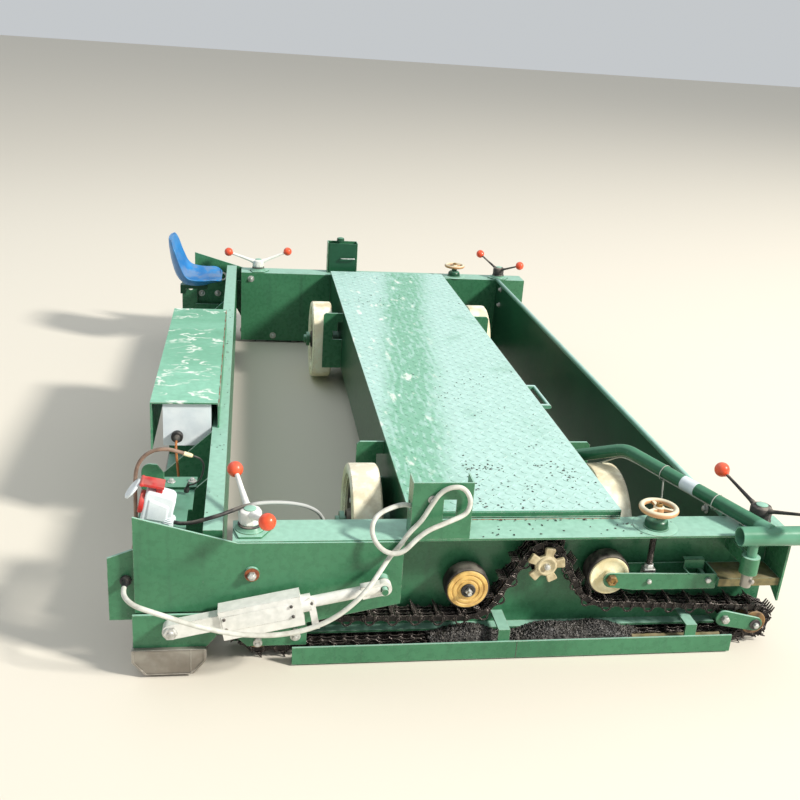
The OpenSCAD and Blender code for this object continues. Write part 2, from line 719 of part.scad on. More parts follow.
// screed: front wall with its tube, base plate, gussets, end plates and hinge arms
wall_front = 675;
wall_t = 8;
tube_w = 50;
tube_h = 40;
screed_top = 400;
base_z = pan_top + gap;
base_t = 8;
end_in = half_w - 38;
end_t = 8;
end_rear = 892;
end_h = 100;
end_step = 85;
rib_y = [-1150, -806, -300, 300, 760];
rib_rear = 900;
rib_z = 232;
arm_eye_r = 28;
module screed_end() {
  difference() {
    plate(end_in, end_in + end_t) union() {
      polygon([[-end_rear, base_z], [-wall_front, base_z], [-wall_front, screed_top - tube_h],
        [-wall_front - tube_w, screed_top - tube_h], [-wall_front - end_step, base_z + end_h],
        [-end_rear, base_z + end_h]]);
      translate([-wall_front - 20, hinge_z - 24]) square([wall_front + 20 - hinge_x, 48]);
      translate([-hinge_x, hinge_z]) circle(r = arm_eye_r);
    }
    disc(-hinge_x, hinge_z, hinge_pin_r + pin_play, end_in - 1, end_in + end_t + 1);
  }
}
module screed_frame() {
  color(green) placed() {
    box(-wall_front - wall_t, -wall_front, -end_in, end_in, base_z, screed_top - tube_h);
    box(-wall_front - tube_w, -wall_front, -end_in - end_t, end_in + end_t, screed_top - tube_h, screed_top);
    box(-rib_rear, -wall_front - wall_t, -end_in, end_in, base_z, base_z + base_t);
    for (y = rib_y) translate([0, y, 0]) plate(0, wall_t)
      polygon([[-wall_front - wall_t, base_z], [-rib_rear, base_z], [-rib_rear, rib_z],
        [-wall_front - tube_w, screed_top - 4], [-wall_front - tube_w, screed_top - tube_h],
        [-wall_front - wall_t, screed_top - tube_h]]);
    both_sides() screed_end();
  }
}

// ironing plate: a trough with turned-up, chamfered long edges
pan_half = half_w + 30;
pan_flat_rear = 868;
pan_flat_front = 757;
pan_chamfer_z = 52;
pan_wall = 10;
module pan_profile(w) {
  polygon([[-pan_rear + w, pan_top + w], [-pan_rear + w, pan_chamfer_z + w / 2],
    [-pan_flat_rear + w / 2, sole_z + w], [-pan_flat_front - w / 2, sole_z + w],
    [-pan_front - w, pan_chamfer_z + w / 2], [-pan_front - w, pan_top + w]]);
}
module ironing_plate() {
  color(bright_steel) placed() difference() {
    translate([0, 2 * pan_half, 0]) plate(pan_half, 3 * pan_half)
      intersection() {
        pan_profile(0);
        translate([-pan_rear, 0]) square([pan_rear, pan_top]);
      }
    translate([0, 2 * pan_half, 0]) plate(pan_half + pan_wall, 3 * pan_half - pan_wall) pan_profile(pan_wall);
  }
}

// cheeks that close the mat's edge, with the actuators' rear pins
cheek_in = half_w + 12;
cheek_t = 8;
cheek_top = side_split_z;
cheek_inset = 4;      // behind the ironing plate's rear edge
cheek_nose = 25;      // how far the cheek reaches ahead of the ironing plate's front edge
cheek_cut = 30;       // height of its cut corners
rear_pin_x = 803;
rear_pin_z = 157;
root_h = 22;
root_inset = 60;      // clear of the wing when the screed is up
module screed_cheek() {
  plate(cheek_in, cheek_in + cheek_t)
    polygon([[-pan_rear + cheek_inset, base_z], [-pan_front, base_z],
      [-pan_front + cheek_nose, base_z + cheek_cut], [-pan_front + cheek_nose, cheek_top - 20],
      [-pan_front - 5, cheek_top], [-pan_rear + cheek_inset, cheek_top]]);
  box(-pan_rear + root_inset, -pan_front - 5, -cheek_in, -end_in - end_t, base_z, base_z + root_h);
  disc(-rear_pin_x, rear_pin_z, act_pin_r, cheek_in + cheek_t, act_pin_end);
}
module screed_cheeks() { color(green) placed() both_sides() screed_cheek(); }

// cabinet cover over the controls, open at its right-hand end
cover_rear = 917;
cover_front = 703;
cover_right = -790;
cover_t = 5;
cover_low = 325;
module cabinet_cover() {
  color(pale_green) placed() translate([0, cover_right, 0]) mirror([0, 1, 0]) plate(0, cover_len)
    polygon([[-cover_rear, cover_low], [-cover_rear, cover_top], [-cover_front, cover_top],
      [-cover_front, screed_top], [-cover_front - cover_t, screed_top],
      [-cover_front - cover_t, cover_top - cover_t], [-cover_rear + cover_t, cover_top - cover_t],
      [-cover_rear + cover_t, cover_low]]);
}
box_right = -780;
box_len = 300;
box_rear = 879;
box_front = 728;
box_low = 334;
gland_x = 835;
gland_z = 368;
gland_r = 18;
gland_len = 14;
module control_box() {
  color(white_paint) placed() {
    box(-box_rear, -box_front, box_right, box_right + box_len, box_low, cover_top - cover_t);
    disc(-gland_x, gland_z, gland_r, -box_right, gland_len - box_right);
  }
}

// actuators that lift the screed: motor and tube on the rear pin, rod on the front pin
act_run = [rear_pin_x - front_pin_x, front_pin_z - rear_pin_z];
act_len = norm(act_run);
act_slope = atan2(act_run[1], act_run[0]);
rod_bar_r = 15;
rod_tail = 305;
body_front = 362;
eye_r = 20;
eye_len = 60;
eye_h = 36;
eye_play = 1.6;
rear_eye_r = 21;
neck_len = 130;
case_start = 127;     // along the axis, from the rear pin
case_end = 337;
case_low = -50;       // across it
case_h = 85;
case_proud = 8;       // beyond the arm's faces on both sides
collar_r = 23;
rod_seat = 25;        // depth of the rod's hole behind its tail
// local frame: u runs from the rear pin to the front pin, v across it in the side view
module on_actuator(inner, outer) {
  plate(inner, outer) translate([-rear_pin_x, rear_pin_z]) rotate(act_slope) children();
}
module act_axis(u0, u1, r) {
  translate([-rear_pin_x, -act_in - act_w / 2, rear_pin_z]) rotate([0, 90 - act_slope, 0])
    translate([0, 0, u0]) cylinder(r = r, h = u1 - u0);
}
module actuator_body() {
  difference() {
    union() {
      on_actuator(act_in, act_in + act_w) union() {
        circle(r = rear_eye_r);
        translate([0, -rear_eye_r]) square([neck_len, 2 * rear_eye_r]);
      }
      on_actuator(act_in - case_proud, act_in + act_w + case_proud)
        translate([case_start, case_low]) square([case_end - case_start, case_h]);
      act_axis(case_end, body_front, collar_r);
    }
    disc(-rear_pin_x, rear_pin_z, act_pin_r + pin_play, act_in - 10, act_in + act_w + 10);
    act_axis(rod_tail - rod_seat, body_front + 1, rod_bar_r + pin_play);
  }
}
module actuator_rod() {
  difference() {
    union() {
      act_axis(rod_tail, act_len - 10, rod_bar_r);
      on_actuator(act_in + 4, act_in + act_w - 4) union() {
        translate([act_len, 0]) circle(r = eye_r);
        translate([act_len - eye_len, -eye_h / 2]) square([eye_len, eye_h]);
      }
    }
    disc(-front_pin_x, front_pin_z, act_pin_r + eye_play, act_in - 10, act_in + act_w + 10);
  }
}
module actuator_body_r() { color(white_paint) placed() actuator_body(); }
module actuator_body_l() { color(white_paint) placed() mirror([0, 1, 0]) actuator_body(); }
module actuator_rod_r() { color(white_paint) placed() actuator_rod(); }
module actuator_rod_l() { color(white_paint) placed() mirror([0, 1, 0]) actuator_rod(); }

// power cable from its exit in the right-hand wing to the hook on the bracket
cable_r = 8;
cable_sides = 8;
cable_stops = [ // x, outward beyond the flanges, z
  [-917, -8, 269], [-917, 14, 269], [-917, 36, 269], [-912, 60, 267], [-899, 81, 264], [-880, 95, 259],
  [-856, 104, 254], [-803, 110, 236], [-750, 114, 217], [-697, 116, 201], [-645, 116, 188],
  [-594, 115, 181], [-545, 114, 179], [-496, 113, 184], [-450, 112, 196], [-408, 110, 214],
  [-369, 106, 239], [-332, 98, 270], [-301, 78, 296], [-274, 50, 320], [-247, 24, 347],
  [-222, 17, 375], [-198, 9, 408], [-169, 9, 444], [-147, 9, 485], [-127, 10, 519], [-104, 13, 537],
  [-77, 14, 540], [-58, 15, 528], [-47, 16, 504], [-50, 18, 478], [-66, 21, 462], [-111, 29, 445],
  [-154, 37, 429], [-184, 42, 407], [-212, 46, 379], [-236, 47, 369], [-263, 42, 373], [-285, 31, 390],
  [-296, 17, 413], [-293, 4, 437], [-276, -8, 455], [-244, -20, 466], [-209, -31, 469],
  [-183, -35, 458], [-160, -36, 432], [-129, -36, 400], [-115, -36, 400]];
cable_route = [for (p = cable_stops) [p[0], -(half_w + p[1]), p[2]]];
function ahead(p, i) = let(d = p[min(i + 1, len(p) - 1)] - p[max(i - 1, 0)]) d / norm(d);
across = [0, 1, 0.6]; // never along the cable
function side_of(t) = let(c = cross(across, t)) c / norm(c);
function ring(c, t, r, n) = let(u = side_of(t), w = cross(t, u))
  [for (k = [0 : n - 1]) c + r * (cos(360 * k / n) * u + sin(360 * k / n) * w)];
module sweep(p, r, n) {
  m = len(p);
  points = [for (i = [0 : m - 1]) each ring(p[i], ahead(p, i), r, n)];
  sides = [for (i = [0 : m - 2]) for (k = [0 : n - 1])
    [i * n + k, i * n + (k + 1) % n, (i + 1) * n + (k + 1) % n, (i + 1) * n + k]];
  caps = [[for (k = [n - 1 : -1 : 0]) k], [for (k = [0 : n - 1]) (m - 1) * n + k]];
  faces = concat(sides, caps);
  polyhedron(points = points, faces = [for (f = faces) [for (k = [len(f) - 1 : -1 : 0]) f[k]]]);
}
module power_cable() { color(white_paint) placed() sweep(cable_route, cable_r, cable_sides); }
cable_tip = cable_route[len(cable_route) - 1];
plug_r = 16.7;        // it lies on the flange behind the bracket
plug_len = 68;
module cable_plug() {
  color(rubber) placed() rod_x(cable_tip[0], cable_tip[0] + plug_len, cable_tip[1], cable_tip[2], plug_r);
}

end_frame_r();
end_frame_l();
side_plates();
guard_rails();
track_r();
track_l();
drive_stars();
roller_tyres();
roller_hubs();
tension_arms();
handwheels();
idlers();
chassis_beams();
deck_cover();
front_plate();
drive_motors();
wheel_brackets();
wheel_tyre_rr();
wheel_tyre_fr();
wheel_tyre_rl();
wheel_tyre_fl();
wheel_hub_rr();
wheel_hub_fr();
wheel_hub_rl();
wheel_hub_fl();
guide_handle();
cable_brackets();
ball_levers();
lever_balls();
seat();
seat_bracket();
screed_frame();
ironing_plate();
screed_cheeks();
cabinet_cover();
control_box();
actuator_body_r();
actuator_body_l();
actuator_rod_r();
actuator_rod_l();
power_cable();
cable_plug();
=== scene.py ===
# %% [markdown]
# # Dressing a running-track paver
# The machine spreads and irons rubber granules for a sports track. Its exact metal shapes come
# from a CAD model, which is loaded here as a fixed frame. This lesson adds what CAD leaves out:
# paint and its wear, chain links, tyres, bolts, leads and a little dirt. All sizes are in metres.

# %% The frame and the libraries
import math

import bmesh
import bpy
import numpy as np
from mathutils import Matrix, Vector


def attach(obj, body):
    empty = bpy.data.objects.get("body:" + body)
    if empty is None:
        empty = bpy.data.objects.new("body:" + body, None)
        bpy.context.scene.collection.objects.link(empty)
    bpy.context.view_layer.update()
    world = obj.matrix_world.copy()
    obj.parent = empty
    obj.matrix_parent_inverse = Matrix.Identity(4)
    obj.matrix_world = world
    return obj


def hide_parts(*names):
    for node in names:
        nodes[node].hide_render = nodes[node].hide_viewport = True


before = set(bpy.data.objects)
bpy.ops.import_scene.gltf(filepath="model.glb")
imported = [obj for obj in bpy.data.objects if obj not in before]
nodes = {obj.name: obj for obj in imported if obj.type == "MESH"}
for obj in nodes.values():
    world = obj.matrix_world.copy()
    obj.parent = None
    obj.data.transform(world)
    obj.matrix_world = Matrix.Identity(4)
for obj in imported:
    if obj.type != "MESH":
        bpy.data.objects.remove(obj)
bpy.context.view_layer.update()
scene = bpy.context.scene

# %% [markdown]
# ## Camera
# The photograph was taken from near the machine's right-hand end. The camera's place and angles
# were worked out beforehand from the machine's straight edges, so that the picture lines up. A
# camera looks along its own minus z axis, with x to the right and y up.

# %% The photograph's camera
eye = np.array([-0.620, -3.7072, 1.6135])
yaw, pitch, roll = np.radians([9.6235, 20.5981, 4.005])
picture_distance = 972.97     # from the eye to the picture, counted in pixels of an 800 pixel frame
ahead = np.array([math.sin(yaw) * math.cos(pitch), math.cos(yaw) * math.cos(pitch), -math.sin(pitch)])
level = np.array([math.cos(yaw), -math.sin(yaw), 0.0])
above = np.cross(level, ahead)
to_right = math.cos(roll) * level + math.sin(roll) * above
to_top = -math.sin(roll) * level + math.cos(roll) * above

lens = bpy.data.cameras.new("photo_camera")
lens.sensor_width = 36.0
lens.lens = 36.0 * picture_distance / 800.0
lens.clip_start = 0.05
camera = bpy.data.objects.new("photo_camera", lens)
scene.collection.objects.link(camera)
turned = np.eye(4)
turned[:3, :3] = np.stack([to_right, to_top, -ahead], 1)
turned[:3, 3] = eye
camera.matrix_world = Matrix(turned.tolist())
scene.camera = camera
print("camera at", eye, "with a lens of", round(lens.lens, 1), "mm")

# %% [markdown]
# ## Shapes as arrays
# A shape here is a pair: an array of points, and a list of arrays of faces, each face a row of
# point numbers. A round piece carries a profile round an axis, a lead carries a circle along a
# path, and a plate gives a flat outline a thickness. Each is worked out for all points at once.

# %% Grids of faces, and shapes put together
def grid_faces(rows, cols, close_rows=False, close_cols=False):
    """Each face joins a point with its neighbours in the next row and the next column."""
    r, c = np.meshgrid(np.arange(rows if close_rows else rows - 1),
                       np.arange(cols if close_cols else cols - 1), indexing="ij")
    r1, c1 = (r + 1) % rows, (c + 1) % cols
    return np.stack([r * cols + c, r1 * cols + c, r1 * cols + c1, r * cols + c1], -1).reshape(-1, 4)


def join(*shapes):
    """One shape from several: each one's face numbers start where the last one's points end."""
    starts = np.cumsum([0] + [len(s[0]) for s in shapes])
    return (np.concatenate([s[0] for s in shapes]),
            [faces + n for s, n in zip(shapes, starts) for faces in s[1]])


def placed(shape, shift=(0, 0, 0), turn=np.eye(3)):
    """Every point times a 3 by 3 matrix, whose columns are the new axes, plus a shift."""
    return shape[0] @ np.asarray(turn, float).T + np.asarray(shift, float), shape[1]


def copies(shape, places, turns=None):
    """The same shape at each place, turned by each matrix: all copies in one product."""
    places = np.asarray(places, float)
    turns = np.broadcast_to(np.eye(3), (len(places), 3, 3)) if turns is None else np.asarray(turns, float)
    points = np.einsum("kij,nj->kni", turns, shape[0]) + places[:, None]
    steps = np.arange(len(places))[:, None, None] * len(shape[0])
    return points.reshape(-1, 3), [(faces[None] + steps).reshape(-1, faces.shape[1]) for faces in shape[1]]


def other_end(shape):
    """The same piece at the left-hand end: y changes its sign, and each face runs backwards."""
    return shape[0] * [1, -1, 1], [faces[:, ::-1] for faces in shape[1]]


def both_ends(shape):
    """A piece of the right-hand end together with its mirror image."""
    return join(shape, other_end(shape))


print("a grid of 3 by 4 points has", len(grid_faces(3, 4)), "faces, and more when it is closed")

# %% Round pieces, plates and boxes
def lathe(profile, at=(0, 0, 0), axis="y", sides=48, ring=False):
    """Pairs of radius and height carried round an axis: r cos a and r sin a across it, h along it."""
    r, h = np.asarray(profile, float).T
    a = np.linspace(0, 2 * np.pi, sides, endpoint=False)
    u, v, w = r[:, None] * np.cos(a), r[:, None] * np.sin(a), np.repeat(h[:, None], sides, 1)
    order = {"x": (w, u, v), "y": (v, w, u), "z": (u, v, w)}[axis]
    faces = [grid_faces(len(r), sides, ring, True)]
    if not ring:
        faces.append(np.stack([np.arange(sides), (len(r) - 1) * sides + np.arange(sides)]))
    return np.stack(order, -1).reshape(-1, 3) + np.asarray(at, float), faces


def plate(outline, low, high, axis="y"):
    """A flat outline at two heights along an axis, with walls between; for y it is in x and z."""
    o = np.asarray(outline, float)
    n = len(o)
    points = np.concatenate([np.column_stack([o, np.full(n, h)]) for h in (low, high)])
    order = {"y": [0, 2, 1], "x": [2, 0, 1], "z": [0, 1, 2]}[axis]
    return points[:, order], [grid_faces(2, n, False, True), np.arange(2 * n).reshape(2, n)]


def block(x0, x1, y0, y1, z0, z1):
    """A box between two corners."""
    return plate([[x0, y0], [x1, y0], [x1, y1], [x0, y1]], z0, z1, "z")


def arc(x, z, r, start, end, n=9):
    """Points on a circle from one angle to another, in degrees."""
    a = np.radians(np.linspace(start, end, n))
    return np.column_stack([x + r * np.cos(a), z + r * np.sin(a)])


print("a drum of 48 sides has", len(lathe([(1, 0), (1, 1)])[0]), "points")

# %% Curves, tubes and turns
def smooth_path(stops, per_stop=5):
    """A cubic curve through all stops; its slope at a stop is half the step between its neighbours."""
    p = np.asarray(stops, float)
    p = np.concatenate([[2 * p[0] - p[1]], p, [2 * p[-1] - p[-2]]])
    t = np.linspace(0, 1, per_stop, endpoint=False)[None, :, None]
    a, b, c, d = (p[i:len(p) - 3 + i][:, None] for i in range(4))
    curve = 0.5 * (2 * b + (c - a) * t + (2 * a - 5 * b + 4 * c - d) * t ** 2
                   + (3 * b - a - 3 * c + d) * t ** 3)
    return np.concatenate([curve.reshape(-1, p.shape[1]), p[-2:-1]])


def tube(path, radius, sides=12, across=(0.0, 1.0, 0.6)):
    """A circle carried along a path. Its first axis is at right angles to the path and to a
    fixed direction, and its second to both; radius is one number, or one for each point."""
    path = np.asarray(path, float)
    along = np.gradient(path, axis=0)
    along /= np.linalg.norm(along, axis=1)[:, None]
    u = np.cross(np.asarray(across, float), along)
    u /= np.linalg.norm(u, axis=1)[:, None]
    v = np.cross(along, u)
    a = np.linspace(0, 2 * np.pi, sides, endpoint=False)[:, None]
    r = np.broadcast_to(radius, len(path))[:, None, None]
    points = path[:, None] + r * (np.cos(a) * u[:, None] + np.sin(a) * v[:, None])
    ends = np.stack([np.arange(sides), (len(path) - 1) * sides + np.arange(sides)])
    return points.reshape(-1, 3), [grid_faces(len(path), sides, False, True), ends]


def facing(direction):
    """The turn that brings a shape's z axis to a direction."""
    w = np.asarray(direction, float) / np.linalg.norm(direction)
    u = np.cross((1.0, 0, 0) if abs(w[2]) > 0.9 else (0, 0, 1.0), w)
    u /= np.linalg.norm(u)
    return np.stack([u, np.cross(w, u), w], 1)


print("a path of 3 stops gets", len(smooth_path([(0, 0, 0), (1, 0, 0), (2, 1, 0)])), "points")

# %% [markdown]
# ## From a shape to a piece
# A shape becomes a mesh object at the origin, and is hung under the empty of the body that it
# rides on; the CAD nodes that it stands for are hidden.
# Each finish is entered below with its slot when it is made.

# %% A shape becomes an object
slot_of = {}                  # each finish with the name of its slot in the record


def put(name, shape, material, body="frame", bevel=0.0, smooth=35, replaces=(), bevel_steps=2):
    mesh = bpy.data.meshes.new(name)
    mesh.from_pydata(shape[0].tolist(), [], [face for faces in shape[1] for face in faces.tolist()])
    shell = bmesh.new()
    shell.from_mesh(mesh)
    bmesh.ops.recalc_face_normals(shell, faces=shell.faces)
    shell.to_mesh(mesh)
    shell.free()
    mesh.polygons.foreach_set("use_smooth", np.full(len(mesh.polygons), smooth > 0))
    if smooth:
        mesh.set_sharp_from_angle(angle=math.radians(smooth))
    mesh.materials.append(material)
    piece = bpy.data.objects.new(name, mesh)
    scene.collection.objects.link(piece)
    if bevel:
        edges = piece.modifiers.new("edges", "BEVEL")
        edges.width, edges.segments = bevel, bevel_steps
        edges.limit_method, edges.angle_limit = "ANGLE", math.radians(40)
    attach(piece, body)
    if replaces:
        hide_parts(*replaces)
    print(name, "on", body, "with", len(mesh.polygons), "faces")
    return piece


print("CAD nodes that a piece can stand for:", len(nodes))


# %% [markdown]
# ## Node helpers
# A material is a small network. These helpers add a node, set its inputs or link them, and so
# keep each finish short. The shader itself always stays in the material, and a number that is
# the same all over a surface is set on the shader's own socket.

# %% Helpers that add nodes
def wire(tree, value, socket):
    """Links an output to an input, or sets the input's own value."""
    if isinstance(value, bpy.types.NodeSocket):
        tree.links.new(value, socket)
    elif value is not None:
        socket.default_value = value


def add(tree, kind, inputs=None, **settings):
    """Adds a shader node, with its settings and its inputs by name or number."""
    made = tree.nodes.new("ShaderNode" + kind)
    for key, value in settings.items():
        setattr(made, key, value)
    for key, value in (inputs or {}).items():
        wire(tree, value, made.inputs[key])
    return made


def calc(tree, operation, a, b=None, clamp=False):
    """One sum on two values."""
    return add(tree, "Math", {0: a, 1: b}, operation=operation, use_clamp=clamp).outputs[0]


def times(tree, a, b, clamp=False):
    """The product of two values."""
    return calc(tree, "MULTIPLY", a, b, clamp)


def part_of(tree, vector, axis):
    """One axis of a vector."""
    return add(tree, "SeparateXYZ", {0: vector}).outputs[axis]


def ramp(tree, value, low, high):
    """A smooth step: 0 below the low value, 1 above the high one."""
    return add(tree, "MapRange", {"Value": value, "From Min": low, "From Max": high},
               interpolation_type="SMOOTHSTEP").outputs[0]


def mixed(tree, share, a, b, mode="MIX"):
    """A blend of two colours by a share from 0 to 1."""
    return add(tree, "Mix", {0: share, 6: a, 7: b}, data_type="RGBA", blend_type=mode).outputs[2]


def noise(tree, place, scale, detail=4.0, stretch=None):
    """Cloudy noise from 0 to 1 at a scale per metre, squeezed along the axes by stretch."""
    if stretch:
        place = add(tree, "Mapping", {"Vector": place, "Scale": stretch}).outputs[0]
    return add(tree, "TexNoise", {"Vector": place, "Scale": scale, "Detail": detail}).outputs[0]


print("node helpers:", [helper.__name__ for helper in (wire, add, calc, times, part_of, ramp, mixed, noise)])

# %% Groups and colours
def new_group(name, inputs, outputs):
    """An empty node group with named inputs (name, start value) and outputs (name, kind)."""
    tree = bpy.data.node_groups.new(name, "ShaderNodeTree")
    for label, start in inputs:
        kind = "NodeSocketColor" if isinstance(start, tuple) else "NodeSocketFloat"
        tree.interface.new_socket(label, in_out="INPUT", socket_type=kind).default_value = start
    for label, kind in outputs:
        tree.interface.new_socket(label, in_out="OUTPUT", socket_type="NodeSocket" + kind)
    return tree, tree.nodes.new("NodeGroupInput").outputs, tree.nodes.new("NodeGroupOutput").inputs


def srgb(r, g, b):
    """A screen colour from 0 to 255 as light: ((c + 0.055) / 1.055) to the power 2.4."""
    c = np.array([r, g, b]) / 255.0
    return (*np.where(c <= 0.04045, c / 12.92, ((c + 0.055) / 1.055) ** 2.4).tolist(), 1.0)


print("a screen grey of 188 is", round(srgb(188, 188, 188)[0], 2), "as light")


# %% [markdown]
# ## Edge wear
# Paint goes first where two faces meet. A Bevel node gives the normal that a rounded edge would
# have; where it differs from the true normal, there is an edge. Noise breaks the line up, since
# real wear comes in chips. The group gives only a mask, so that each finish picks its own metal.

# %% The edge wear group
edge_wear, given, result = new_group(
    "edge_wear", [("Width", 0.003), ("Amount", 0.5), ("Chips", 45.0)], [("Mask", "Float")])
net = edge_wear
place = add(net, "TexCoord").outputs["Object"]
rounded = add(net, "Bevel", {"Radius": given["Width"]}, samples=3).outputs[0]
true_normal = add(net, "NewGeometry").outputs["Normal"]
agreement = add(net, "VectorMath", {0: rounded, 1: true_normal}, operation="DOT_PRODUCT").outputs["Value"]
closeness = times(net, calc(net, "SUBTRACT", 1.0, agreement), 3.4, clamp=True)
ragged = noise(net, place, given["Chips"], 5.0)
worn = calc(net, "ADD", closeness, times(net, calc(net, "SUBTRACT", ragged, 0.5), 2.2))
limit = calc(net, "SUBTRACT", 1.15, given["Amount"])
sharp = times(net, calc(net, "SUBTRACT", worn, limit), 5.0, clamp=True)
near = ramp(net, closeness, 0.03, 0.12)
wire(net, times(net, sharp, near), result["Mask"])
print("edge wear group:", len(net.nodes), "nodes")

# %% [markdown]
# ## Worn paint
# The machine is sprayed green. The faces that look up are paler: partly paint bleached by the sun,
# partly painted sunlight and sky reflection. The group mixes two tones of the paint in soft patches,
# lightens the faces that look up, draws faint streaks down the upright ones, adds small stone chips,
# and lets the edge wear show primer or rust.

# %% The worn paint group
worn_paint, given, result = new_group(
    "worn_paint",
    [("Paint", (0.1, 0.3, 0.2, 1.0)), ("Second Tone", (0.08, 0.25, 0.16, 1.0)),
     ("Bleached And Sunlit", (0.5, 0.75, 0.65, 1.0)), ("Sun", 0.8), ("Under", (0.3, 0.3, 0.28, 1.0)),
     ("Wear Width", 0.003), ("Wear", 0.45), ("Streaks", 0.35), ("Stone Chips", 0.3), ("Gloss", 0.35)],
    [("Color", "Color"), ("Roughness", "Float"), ("Height", "Float")])
net = worn_paint
place = add(net, "TexCoord").outputs["Object"]
normal_up = part_of(net, add(net, "NewGeometry").outputs["Normal"], "Z")
soft_patches = ramp(net, noise(net, place, 2.6, 5.0), 0.36, 0.66)
paint = mixed(net, soft_patches, given["Paint"], given["Second Tone"])
fine = noise(net, place, 55.0, 6.0)
upward = ramp(net, normal_up, 0.5, 0.9)
# The pale tone on up-facing faces is part sun bleaching and part painted sunlight and sky reflection.
bleach_and_sunlight = times(net, upward, given["Sun"])
bleach_and_sunlight = times(net, bleach_and_sunlight, ramp(net, noise(net, place, 6.0, 6.0), 0.05, 0.45))
paint = mixed(net, bleach_and_sunlight, paint, given["Bleached And Sunlit"])
runs = ramp(net, noise(net, place, 1.0, 4.0, stretch=(38.0, 38.0, 3.0)), 0.52, 0.8)
runs = times(net, runs, calc(net, "SUBTRACT", 1.0, upward))
runs = times(net, runs, given["Streaks"])
dirt_tone = (0.03, 0.06, 0.045, 1.0)
paint = mixed(net, runs, paint, dirt_tone)
paint = mixed(net, ramp(net, fine, 0.2, 0.8), mixed(net, 1.0, paint, (0.86, 0.87, 0.86, 1), "MULTIPLY"),
              mixed(net, 1.0, paint, (1.07, 1.06, 1.06, 1), "MULTIPLY"))
print("tones of the paint:", len(net.nodes), "nodes")

# %% Chips, worn edges and the gloss of the paint
cells = add(net, "TexVoronoi", {"Vector": place, "Scale": 75.0}).outputs["Distance"]
small = calc(net, "SUBTRACT", 1.0, ramp(net, cells, 0.08, 0.16))
region = ramp(net, noise(net, place, 9.0, 3.0), 0.62, 0.72)
chips = times(net, times(net, small, region), given["Stone Chips"])
edge = add(net, "Group", {"Width": given["Wear Width"], "Amount": given["Wear"]}, node_tree=edge_wear)
bare = calc(net, "MAXIMUM", edge.outputs["Mask"], chips)
under = mixed(net, fine, given["Under"], mixed(net, 1.0, given["Under"], (0.45, 0.4, 0.36, 1), "MULTIPLY"))
wire(net, mixed(net, bare, paint, under), result["Color"])
rough = calc(net, "ADD", given["Gloss"], times(net, fine, 0.16))
rough = calc(net, "ADD", rough, times(net, bleach_and_sunlight, 0.16))
wire(net, calc(net, "ADD", rough, times(net, bare, 0.3)), result["Roughness"])
height = calc(net, "SUBTRACT", times(net, fine, 0.18), bare)
wire(net, height, result["Height"])
print("worn paint group:", len(net.nodes), "nodes")

# %% [markdown]
# ## Iron, rubber and plastic
# Bare iron, castings, rubber and moulded plastic share one idea: a base colour with darker
# hollows, a lighter tone where edges rub, and dust that settles on top. On the chain that lighter
# edge tone is rub wear and also a painted glint, and on the granules it is a painted glint. One
# group does it, and the grain's size, the dust and the roughness tell the materials apart.

# %% The raw surface group
raw_surface, given, result = new_group(
    "raw_surface",
    [("Base", (0.1, 0.1, 0.1, 1.0)), ("Hollows", (0.05, 0.05, 0.05, 1.0)), ("Rubbed And Glint", (0.3, 0.3, 0.3, 1.0)),
     ("Dust", (0.4, 0.36, 0.3, 1.0)), ("Dust Cover", 0.3), ("Grain", 120.0), ("Patches", 14.0),
     ("Rub Width", 0.002), ("Rub", 0.5), ("Rough", 0.5)],
    [("Color", "Color"), ("Roughness", "Float"), ("Height", "Float")])
net = raw_surface
place = add(net, "TexCoord").outputs["Object"]
normal_up = part_of(net, add(net, "NewGeometry").outputs["Normal"], "Z")
grain = noise(net, place, given["Grain"], 4.0)
patches = noise(net, place, given["Patches"], 6.0)
tone = mixed(net, ramp(net, patches, 0.35, 0.65), given["Base"], given["Hollows"])
tone = mixed(net, times(net, grain, 0.5), tone, mixed(net, 1.0, tone, (1.5, 1.5, 1.5, 1), "MULTIPLY"))
# Edges take the rubbed tone: rub wear, and on the chain and the granules also a painted glint.
edge = add(net, "Group", {"Width": given["Rub Width"], "Amount": given["Rub"]}, node_tree=edge_wear)
tone = mixed(net, edge.outputs["Mask"], tone, given["Rubbed And Glint"])
settled = calc(net, "ADD", ramp(net, normal_up, 0.1, 0.95), 0.25)
settled = times(net, settled, ramp(net, noise(net, place, 22.0, 6.0), 0.4, 0.62))
settled = times(net, settled, given["Dust Cover"], clamp=True)
wire(net, mixed(net, settled, tone, given["Dust"]), result["Color"])
rough = calc(net, "ADD", given["Rough"], times(net, patches, 0.15))
wire(net, calc(net, "ADD", rough, times(net, settled, 0.35)), result["Roughness"])
wire(net, calc(net, "ADD", grain, times(net, patches, 0.7)), result["Height"])
print("raw surface group:", len(net.nodes), "nodes")

# %% [markdown]
# ## Finishes
# Each finish places a group with its own values and feeds the shader. A Bevel node under the
# bump rounds the light on sharp CAD edges by about a millimetre, which sheet metal always shows.

